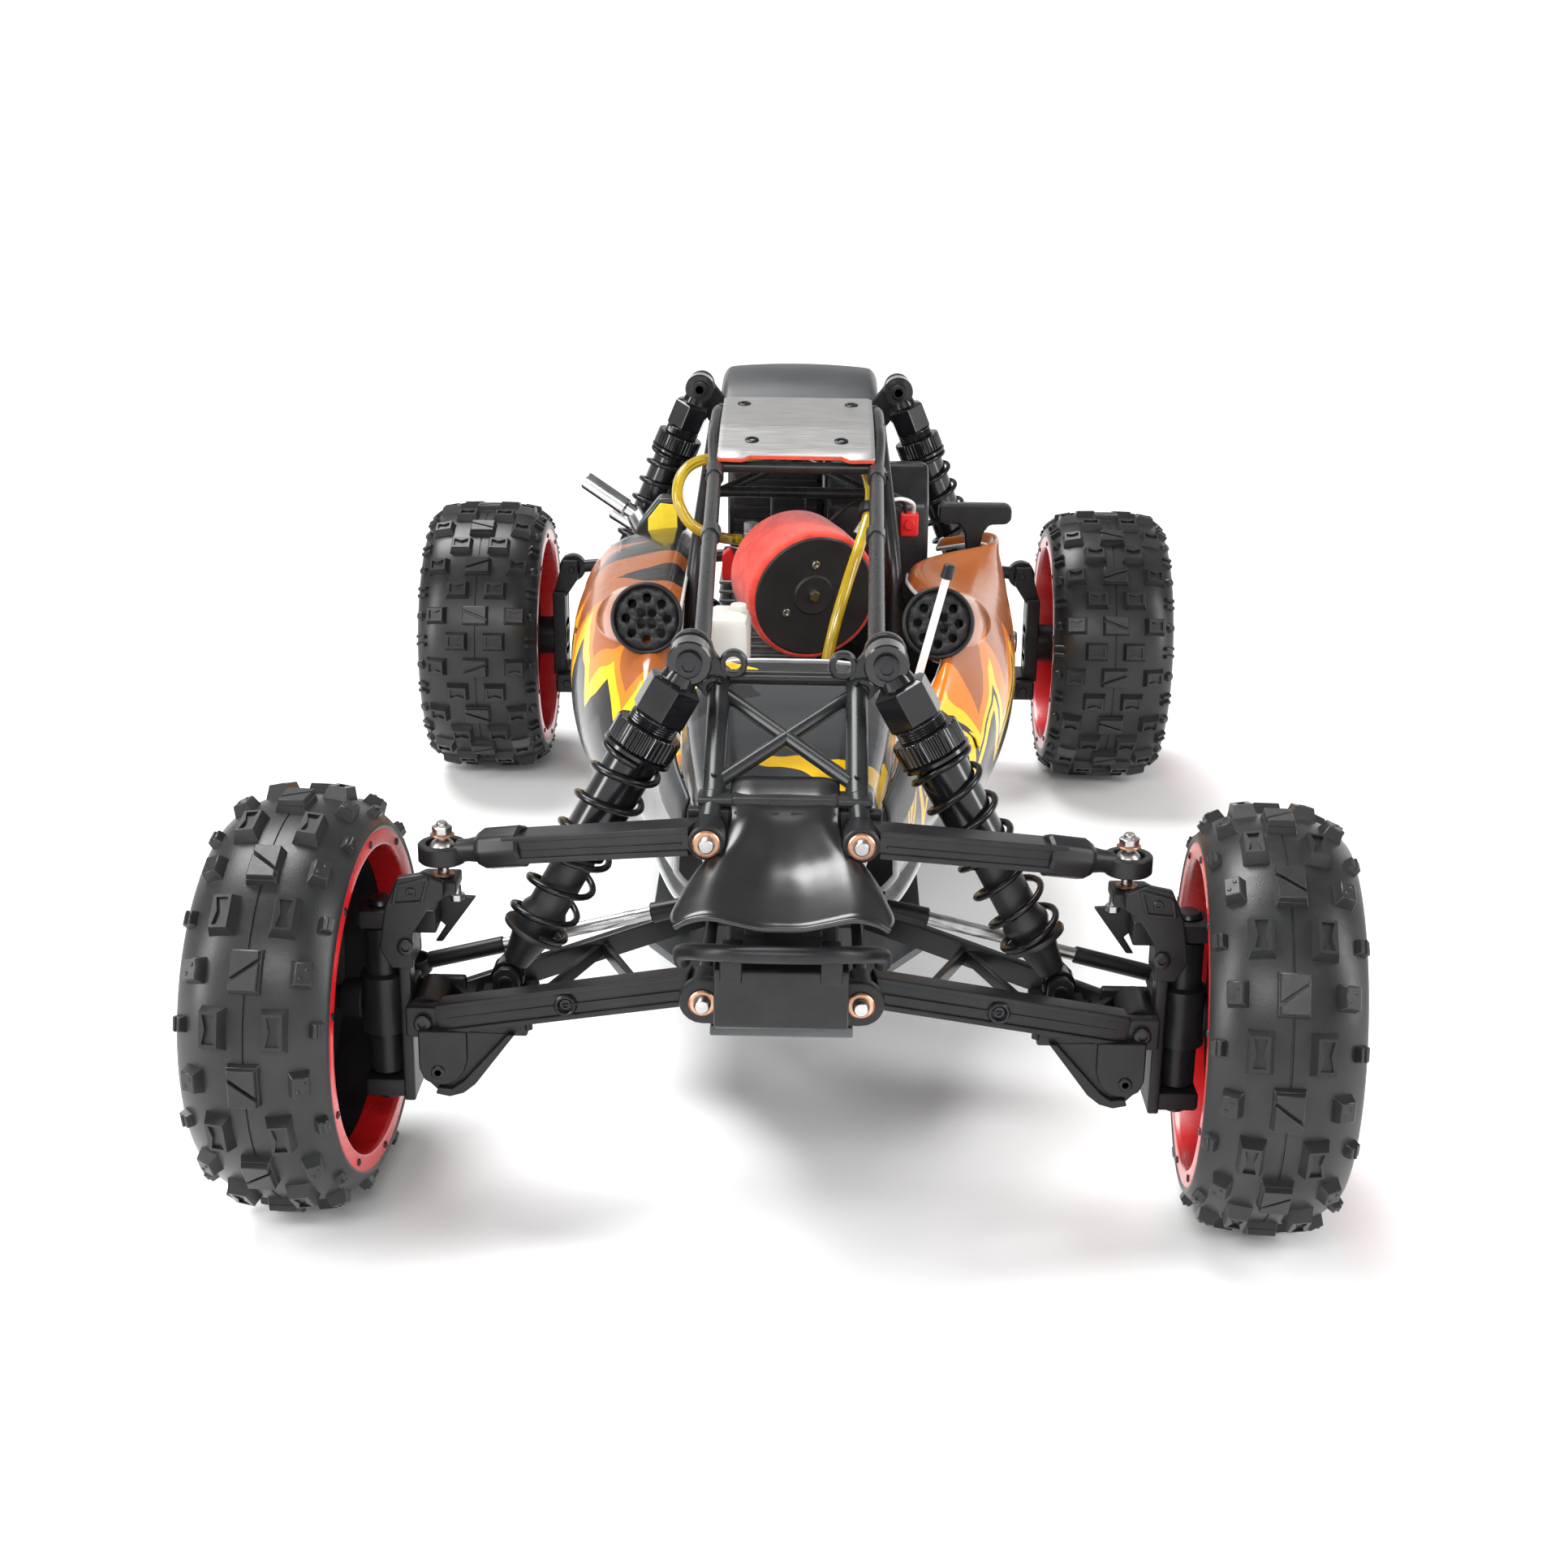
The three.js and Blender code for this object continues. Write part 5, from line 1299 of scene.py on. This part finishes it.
# ---------- drive train ----------
def gearbox():
    bm = bmesh.new()
    box(bm, (-24, 24), (203, 292), (64.4, 112), 2.4)
    plate = [(-22, 104), (22, 104), (34, 190), (44, 216), (42, 226), (30, 232), (-30, 232), (-42, 226),
             (-44, 216), (-34, 190)]
    slab(bm, "y", plate, 231, 236, 1.0)
    for x, z, u, w in ((-20, 112, -31, 190), (20, 112, 31, 190), (-31, 190, -40, 214), (31, 190, 40, 214),
                       (-20, 114, 29, 186), (20, 114, -29, 186), (-31, 190, 31, 190), (-28, 229, 28, 229)):
        beam(bm, (x, 237, z), (u, 237, w), 3, 4, 0.6)
    for y in (199.5, 291.5):
        box(bm, (-38, 38), (y, y + 4), (64.4, 79), 1.2)
    for z in (76, 88, 100):
        box(bm, (-25.4, 25.4), (208, 228), (z, z + 3), 0.8)
    for _, s in SIDES:
        (lx, lz), (ux, uz) = REAR["lower"], REAR["upper"]
        tx, _, tz = REAR["top"]
        rod(bm, (lx * s, 199, lz), (lx * s, 297, lz), PIN_R)
        rod(bm, (tx * s, 206, tz), (tx * s, 232, tz), 4)
        ear(bm, s, (tx, tz), 8, ((44, 240), (26, 222), (44, 214), (56, 228)), 231, 236)
        box(bm, (24 * s, 46 * s), (231, 237), (132, 148), 1.2)
        rod(bm, (ux * s, 234, uz), (ux * s, 256, uz), PIN_R)
        rod(bm, (22 * s, REAR_Y, 88), (27 * s, REAR_Y, 88), 11)
        tube(bm, smooth_path([side(s, p) for p in ((20, 288, 84), (24, 350, 92), (30, 403, 96))], 6), 3.4, 16)
    tube(bm, smooth_path([(-52, 396, 96), (-34, 406, 96), (34, 406, 96), (52, 396, 96)], 6), 3.4, 16)
    piece("gearbox_body", bm, "nylon", "chassis", ["gearbox_housing"])
    dark = bmesh.new()
    for _, s in SIDES:
        screw(dark, (REAR["top"][0] * s, 207.6, 250), FORWARD, 5, 2.6)
        for z in (78, 104):
            screw(dark, (18 * s, 203.2, z), FORWARD, 3, 1.6)
            screw(dark, (18 * s, 291.8, z), BACK, 3, 1.6)
    piece("gearbox_screws", dark, "screw_black", "chassis")


def engine():
    bm = bmesh.new()
    box(bm, (-34, 14), (64, 130), (64.4, 118), 3)
    box(bm, (-36, 8), (70, 124), (116, 168), 2)
    for i in range(9):
        z = 122 + 5.2 * i
        box(bm, (-42, 13), (66, 128), (z, z + 2), 0.6)
    rod(bm, (-14, 97, 166), (-14, 97, 170), 10)
    piece("engine_fins", bm, "engine_alloy", "chassis", ["engine_block"])
    carb = bmesh.new()
    rod(carb, (-12, 72, 150), (-12, 47, 172), 12)
    box(carb, (-28, 6), (44, 58), (166, 198), 1.6)
    rod(carb, (-24, 51, 197), (-24, 51, 202), 4)
    rod(carb, (-30, 51, 190), (-24, 51, 190), 2.4)
    for x in (-22, 0):
        screw(carb, (x, 44.2, 192), FORWARD, 2.8, 1.4)
    piece("carburettor", carb, "engine_alloy", "chassis")
    clip = bmesh.new()
    slab(clip, "y", [(-40, 168), (-33, 168), (-33, 183), (-36, 186), (-40, 183)], 56, 63, 1.2)
    piece("red_clip", clip, "red_plastic", "chassis")
    switch = bmesh.new()
    box(switch, (58, 68), (75, 84), (190, 203), 1.4)
    rod(switch, (63, 75.2, 197), (63, 73.4, 197), 3)
    piece("red_switch", switch, "red_plastic", "chassis")
    black = ((61, 80, 201), (58, 74, 212), (46, 66, 216), (30, 66, 210), (14, 64, 196), (4, 56, 186))
    white = ((65, 80, 201), (64, 70, 210), (54, 60, 214), (40, 60, 206), (28, 58, 190), (8, 54, 178))
    for name, look, path in (("wire_black", "boot_rubber", black), ("wire_white", "white_tube", white)):
        wire = bmesh.new()
        tube(wire, smooth_path(path, 6), 1.1, 10)
        piece(name, wire, look, "chassis")


def shroud():
    bm = bmesh.new()
    outline = [(84, 80), (150, 80), (156, 110), (150, 190), (134, 222), (104, 226), (86, 206), (80, 150)]
    slab(bm, "x", outline, 18, 74, 3)
    m = aim((73, STARTER_Y, STARTER_Z), (88, STARTER_Y, STARTER_Z))
    profile = [(0, 0), (0, 32), (11, 32), (14, 30.4), (15, 28), (15, 24), (12.6, 23), (12.6, 12),
               (15, 11), (15, 0)]
    lathe(bm, profile, m, 64)
    hub = Vector((86.8, STARTER_Y, STARTER_Z))
    for t in turns(12):
        beam(bm, hub + polar(0, 11.5, t), hub + polar(0, 24, t), 2.4, 2.4, 0.4, up=(1, 0, 0))
    lathe(bm, [(0, 2.4), (0, 6), (46, 6), (47, 5), (47, 2.4)], aim((93, 92, 121), (93, 92, 169)), 32,
          loop=True)
    box(bm, (80, 97), (94.8, 104), (122, 134), 1)
    for z in (100, 120, 140, 160, 180, 200):
        box(bm, (24, 68), (149, 153.5) if z < 190 else (143, 147), (z, z + 6), 1)
    piece("shroud_body", bm, "shroud", "chassis", ["engine_shroud"])
    dark = bmesh.new()
    for t in turns(4, 0.5):
        screw(dark, (87, STARTER_Y + 27 * math.cos(t), STARTER_Z + 27 * math.sin(t)), (1, 0, 0), 2.4, 1.4)
    piece("shroud_screws", dark, "screw_black", "chassis")


def engine_cover():
    """Dark ribbed cover over the cylinder head, under the roof."""
    bm = bmesh.new()
    box(bm, (-40, 16), (134, 198), (168, 226), 5)
    for i in range(6):
        box(bm, (-36, 12), (131.6, 140), (176 + 8 * i, 179 + 8 * i), 0.8)
    box(bm, (-14, 6), (66, 74), (176, 214), 2)
    piece("engine_top_cover", bm, "shroud", "chassis")


def air_filter():
    a, b = Vector((11, -10, 176)), Vector((-4, 34, 182))
    m = aim(a, b)
    length = (b - a).length
    bm = bmesh.new()
    profile = [(3.2, 20), (0.8, 31.6), (0.2, 33.2), (1.2, 34.6), (4, 35.2), (length * 0.5, 34.8),
               (length - 6, 33.4), (length - 3, 32), (length - 3, 20)]
    lathe(bm, profile, m, 96, loop=True)
    piece("filter_ring", bm, "filter_foam", "chassis", ["air_filter"], sharp=70)
    face = bmesh.new()
    lathe(face, [(2.4, 0), (1.4, 9), (1.2, 10), (2.2, 11), (0.9, 26), (-0.2, 31.4), (0.6, 32.6),
                 (3.6, 32.2), (3.6, 0)], m, 64)
    lathe(face, [(length - 4, 0), (length - 4, 31), (length - 1.4, 31), (length - 0.6, 29), (length, 14),
                 (length, 0)], m, 64)
    piece("filter_face", face, "filter_face", "chassis")
    dark = bmesh.new()
    inward = (a - b).normalized()
    for t in turns(3):
        screw(dark, m @ polar(1.7, 17, math.pi / 2 + t), inward, 2.2, 1.2)
    rod(dark, m @ Vector((2.2, 0, 0)), m @ Vector((-0.6, 0, 0)), 3.6, 3.2, 6)
    piece("filter_screws", dark, "polished", "chassis")


def tank():
    bm = bmesh.new()
    box(bm, (-50, 26), (-78, -34), (64.4, 128), 5)
    box(bm, (-49, -29), (-36, 12), (64.4, 142), 4)
    rod(bm, (-39, -14, 140), (-39, -14, 147), 8)
    for z in (84, 104):
        box(bm, (-51, 27), (-79, -60), (z, z + 3), 1)
    box(bm, (-44, -21), (-77, -46), (122, 181), 6)
    rod(bm, (-27, -60, 180), (-27, -60, 184), 4)
    piece("fuel_tank_body", bm, "tank", "chassis", ["fuel_tank"])
    cap = bmesh.new()
    up = aim((-39, -14, 147.4), (-39, -14, 160))
    lathe(cap, [(0, 0), (0, 9.6, -18), (0.8, 10, -18), (7.4, 10, -18), (8.6, 9, -18), (8.8, 6),
                (11.4, 5.8), (12.6, 4.8), (12.6, 0)], up, 108)
    piece("fuel_cap_body", cap, "nylon", "fuel_cap", ["fuel_cap"])
    hose = bmesh.new()
    route = [(-29.4, 52, 192), (-35, 49, 193), (-40, 34, 197), (-47, 21, 202), (-56, 16, 209),
             (-62, 19, 221), (-60, 29, 232), (-51, 41, 237), (-37, 48, 237), (-20, 50, 239),
             (0, 51, 240), (20, 49, 240), (34, 40, 236), (39, 22, 228), (38, 2, 218), (33, -18, 204),
             (27, -32, 188), (21, -42, 168), (17, -48, 148), (16, -50, 128.4)]
    tube(hose, smooth_path(route, 6), 3, 16)
    piece("fuel_line_hose", hose, "fuel_hose", "chassis", ["fuel_line"], sharp=70)
    clip = bmesh.new()
    box(clip, (26, 33), (0, 26), (198, 203), 1.2)
    lathe(clip, [(0, 3.1), (0, 5), (7, 5), (7, 3.1)], aim((37.6, 0, 216.8), (38.2, 6, 220)), 28, loop=True)
    piece("fuel_line_clip", clip, "nylon", "chassis")


def receiver():
    bm = bmesh.new()
    box(bm, (16, 56), (-150, -92), (64.4, 96), 2.4)
    box(bm, (15, 57), (-151, -91), (88, 91), 0.8)
    rod(bm, (50, -110, 94), (53, -104, 128), 4)
    piece("receiver_case", bm, "nylon", "chassis", ["receiver_box"])
    mast = bmesh.new()
    rod(mast, (52.8, -104.4, 126), (73.4, -104, 212), 2.1, 1.9)
    piece("antenna_tube", mast, "white_tube", "chassis")
    tip = bmesh.new()
    rod(tip, (72.6, -104, 208.8), (74.2, -104, 215.5), 3.1, 2.7)
    piece("antenna_cap", tip, "nylon", "chassis")
    tag = bmesh.new()
    rows = [[(86, y, 134), (89.5, y + 1, 131), (91.5, y, 126)] for y in (-108, -96, -84, -72, -62)]
    grid(tag, smooth_rows(rows, 3, 3))
    piece("yellow_strap", tag, "yellow_tag", "chassis", thick=1.2, sharp=60)


def exhaust():
    bm = bmesh.new()
    header = [(-49, 100, 140), (-56, 112, 142), (-72, 140, 150), (-88, 170, 166), (-97, 188, 177)]
    tube(bm, smooth_path(header, 6), 6.5, 28)
    lathe(bm, [(0, 0), (0, 12), (2, 14.6), (4, 15), (41, 15), (43, 14.6), (45, 12), (45.6, 0)],
          aim((-56, 116, 112), (-56, 160, 122)), 48)
    box(bm, (-62, -50), (118, 136), (118, 144), 2)
    for a, b, r in (((-94, 184, 176), (-128, 192, 197), 5.2), ((-94, 192, 168), (-112, 196, 178), 5.2)):
        m = aim(a, b)
        long = (Vector(b) - Vector(a)).length
        stages = [(0, 0), (0, r * 0.8), (long * 0.25, r * 0.8), (long * 0.28, r * 1.02),
                  (long - 1, r * 1.02), (long, r * 0.92), (long, r * 0.7), (long - 9, r * 0.68),
                  (long - 9, 0)]
        lathe(bm, stages, m, 36)
    piece("exhaust_pipes", bm, "polished", "chassis", ["exhaust_pipe"])


def pull_start():
    """T-shaped starter grip on its rope."""
    bm = bmesh.new()
    grip = [(79.4, 205), (81.5, 207), (117.5, 207), (120, 205), (120, 198.6), (117.4, 196), (108, 195.6),
            (104.4, 191), (102.6, 180), (95.4, 180), (94, 191), (90.6, 195.6), (82, 196), (79.4, 198.6)]
    slab(bm, "y", grip, 83, 93, 2.2)
    rod(bm, (93, 92, 170), (93, 92, 181), 4.5, 4)
    box(bm, (90, 103), (86, 94), (174, 182), 1)
    rod(bm, (93, 92, 114), (93, 92, 172), 1.6, sides=14)
    piece("pull_handle_grip", bm, "nylon", "pull_handle", ["pull_handle"])


# ---------- rear suspension ----------
def rear_corner(s, label):
    """Lower arm, upper link, hub carrier and drive shaft."""
    p = placer(s)
    arm = bmesh.new()
    px, pz = REAR["lower"]
    fx, fy, fz = REAR["foot"]
    for y in (210, 285):
        ring_y(arm, s, REAR["lower"], y, LUG_R, PIN_BORE, 12)
    for y, far in ((210, 229), (285, 266)):
        a, b = p(px + 4.6, y, pz - 0.5), p(137, far, 59.5)
        i_beam(arm, a, b, (7, 9.4), (9.4, 2.2), (4.8, -4.8))
    for u, v in (((48, 212, 69), (80, 278, 66)), ((80, 278, 66), (114, 226, 62)),
                 ((114, 226, 62), (130, 266, 60))):
        beam(arm, p(*u), p(*v), 3, 5.6, 0.6)
    for near, far in ((-20, -13), (13, 20)):
        box(arm, (128 * s, 153 * s), (REAR_Y + near, REAR_Y + far), (52, 64), 1.4)
    rod(arm, p(146, REAR_Y - 21, 58), p(146, REAR_Y + 21, 58), PIN_R)
    box(arm, ((fx - 9) * s, (fx + 9) * s), (fy - 9, fy + 10), (58, 66), 1.2)
    for near, far in ((-9, -5.5), (5.5, 9)):
        box(arm, ((fx - 5) * s, (fx + 5) * s), (fy + near, fy + far), (60, fz + 5), 0.9)
    rod(arm, p(fx, fy - 10, fz), p(fx, fy + 10, fz), PIN_R)
    nylon_body("rear_lower_arm", label, arm)
    link = bmesh.new()
    (ix, iz), (ox, oz) = REAR["upper"], REAR["link_end"]
    ring_y(link, s, (ix, iz), REAR_Y, 6.5, PIN_BORE, 10)
    ring_y(link, s, (ox, oz), REAR_Y, 8.4, 4.8, 8)
    rod(link, p(ix + 5, REAR_Y, iz - 0.5), p(ox - 6.4, REAR_Y, oz + 0.6), 4)
    rod(link, p(ix + 30, REAR_Y, iz - 3), p(ix + 40, REAR_Y, iz - 4), 5.2, sides=6)
    nylon_body("rear_upper_link", label, link)
    rear_hub(s, label)
    drive_shaft(s, label)


def rear_hub(s, label):
    bm = bmesh.new()
    ox, oz = REAR["link_end"]
    for near, far in ((REAR_Y - 12, REAR_Y - 5.8), (REAR_Y + 5.8, REAR_Y + 12)):
        box(bm, (147 * s, 155 * s), (near, far), (62, 116), 0.8)
    for low, high in ((62, 79), (91, 116)):
        box(bm, (147 * s, 155 * s), (REAR_Y - 10, REAR_Y + 10), (low, high), 0.6)
    ring_y(bm, s, REAR["outer"], REAR_Y, 7.4, PIN_BORE, 24)
    m = aim((150 * s, REAR_Y, AXLE_Z), (172 * s, REAR_Y, AXLE_Z))
    lathe(bm, [(-3, 5.6), (-3, 12), (20, 12), (22, 10.8), (22, 5.6)], m, 40, loop=True)
    ears = flipped(s, ((147, 112), (155, 112), (149, 136), (139, 136), (139, 124)))
    for near, far in ((-9, -5), (5, 9)):
        slab(bm, "y", ears, REAR_Y + near, REAR_Y + far, 0.8)
    rod(bm, (ox * s, REAR_Y - 10, oz), (ox * s, REAR_Y + 10, oz), 2.2)
    nylon_body("rear_hub", label, bm)


def drive_shaft(s, label):
    (ix, iz), (ox, oz) = REAR["drive_in"], REAR["drive_out"]
    a, b = Vector((ix * s, REAR_Y, iz)), Vector((ox * s, REAR_Y, oz))
    m = aim(a, b)
    long = (b - a).length
    bm = bmesh.new()
    lathe(bm, [(0, 0), (0, 7), (1, 8), (11, 8), (12, 7), (12, 4), (long - 14, 4), (long - 14, 6.6),
               (long - 13, 7.5), (long - 1, 7.5), (long, 6.6), (long, 0)], m, 32)
    piece(f"drive_shaft_bar_{label}", bm, "shaft_steel", f"drive_shaft_{label}",
          [f"drive_shaft_{label}"])
    boots = bmesh.new()
    for start, step in ((12.2, 2.4), (long - 14.2, -2.4)):
        profile = [(start, 4.2), (start, 7.6)]
        for i in range(4):
            profile += [(start + step * (i + 0.5), 8.0 - 0.8 * i), (start + step * (i + 1), 6.4 - 0.6 * i)]
        profile += [(start + step * 4.4, 4.9), (start + step * 4.4, 4.2)]
        lathe(boots, profile, m, 32, loop=True)
    piece(f"drive_shaft_boots_{label}", boots, "boot_rubber", f"drive_shaft_{label}", sharp=60)


# ---------- picture ----------
def camera():
    data = bpy.data.cameras.new("photo_view")
    data.lens = VIEW_LENS
    data.sensor_width = 36
    yaw, pitch, roll = (math.radians(angle) for angle in (VIEW_YAW, VIEW_PITCH, VIEW_ROLL))
    ahead = Vector((math.sin(yaw) * math.cos(pitch), math.cos(yaw) * math.cos(pitch), -math.sin(pitch)))
    right = Vector((math.cos(yaw), -math.sin(yaw), 0))
    up = right.cross(ahead)
    tilted = right * math.cos(roll) + up * math.sin(roll)
    upright = up * math.cos(roll) - right * math.sin(roll)
    obj = bpy.data.objects.new("photo_view", data)
    bpy.context.scene.collection.objects.link(obj)
    pose = Matrix((tilted, upright, -ahead)).transposed().to_4x4()
    obj.matrix_world = Matrix.Translation(VIEW_PLACE) @ pose
    bpy.context.scene.camera = obj


def lamp(kind, name, place, target, energy, **settings):
    data = bpy.data.lights.new(name, kind)
    data.energy = energy
    for key, value in settings.items():
        setattr(data, key, value)
    obj = bpy.data.objects.new(name, data)
    bpy.context.scene.collection.objects.link(obj)
    obj.location = place
    obj.rotation_euler = (Vector(target) - Vector(place)).to_track_quat("-Z", "Y").to_euler()


def studio():
    scene = bpy.context.scene
    scene.view_settings.view_transform = "Standard"
    world = bpy.data.worlds.new("studio")
    world.use_nodes = True
    back = world.node_tree.nodes["Background"]
    back.inputs["Color"].default_value = (1.0, 1.0, 1.0, 1)
    back.inputs["Strength"].default_value = WORLD_STRENGTH
    scene.world = world
    lamp("SUN", "overhead", (-0.9, 1.0, 2.6), (0, 0, 0), OVERHEAD_ENERGY, angle=math.radians(32))
    for name, place, target, energy, wide, high in (
            ("left_bank", (-1.5, -0.9, 0.9), (0, -0.1, 0.12), 26, 0.4, 1.4),
            ("right_bank", (1.6, -0.7, 1.0), (0, -0.1, 0.12), 20, 0.4, 1.4),
            ("front_strip", (-0.2, -1.8, 1.3), (0, -0.2, 0.12), 16, 1.2, 0.25)):
        lamp("AREA", name, place, target, energy, shape="RECTANGLE", size=wide, size_y=high)
    floor = bmesh.new()
    sweep = smooth_path([(0, 4, 0), (0.12, 6.5, 0), (0.75, 9.6, 0), (2.2, 12, 0), (5, 13.6, 0)], 6)
    rise = [(q.x, q.y) for q in sweep]
    lathe(floor, [(0, 0)] + rise + [(5, 13.8), (-0.1, 13.8), (-0.1, 0)], aim((0, 0, 0), UP), 128)
    mesh = bpy.data.meshes.new("floor")
    floor.to_mesh(mesh)
    floor.free()
    tree, shader, place = start_look("floor")
    soft = noise(tree, place, 0.6, 2)
    pale = ramp(tree, soft, [(0.2, (0.9, 0.9, 0.9)), (0.8, (0.94, 0.94, 0.94))])
    tree.links.new(pale, shader.inputs["Base Color"])
    set_sockets(shader, {"Roughness": 0.85, "Specular_IOR_Level": 0.1})
    mesh.materials.append(LOOKS["floor"])
    mesh.shade_smooth()
    mesh.set_sharp_from_angle(angle=math.radians(40))
    obj = bpy.data.objects.new("floor", mesh)
    scene.collection.objects.link(obj)


def build():
    make_looks()
    for part in (wheels, shocks, steering, chassis, bulkhead, front_bumper, nose_cover, tower, cage,
                 roof, hood, wing, fin, gearbox, engine, shroud, engine_cover, air_filter, tank,
                 receiver, exhaust, pull_start):
        part()
    for label, s in SIDES:
        for part in (side_panel, front_lower_arm, front_upper_arm, front_carrier, front_knuckle, rear_corner):
            part(s, label)
    camera()
    studio()


build()
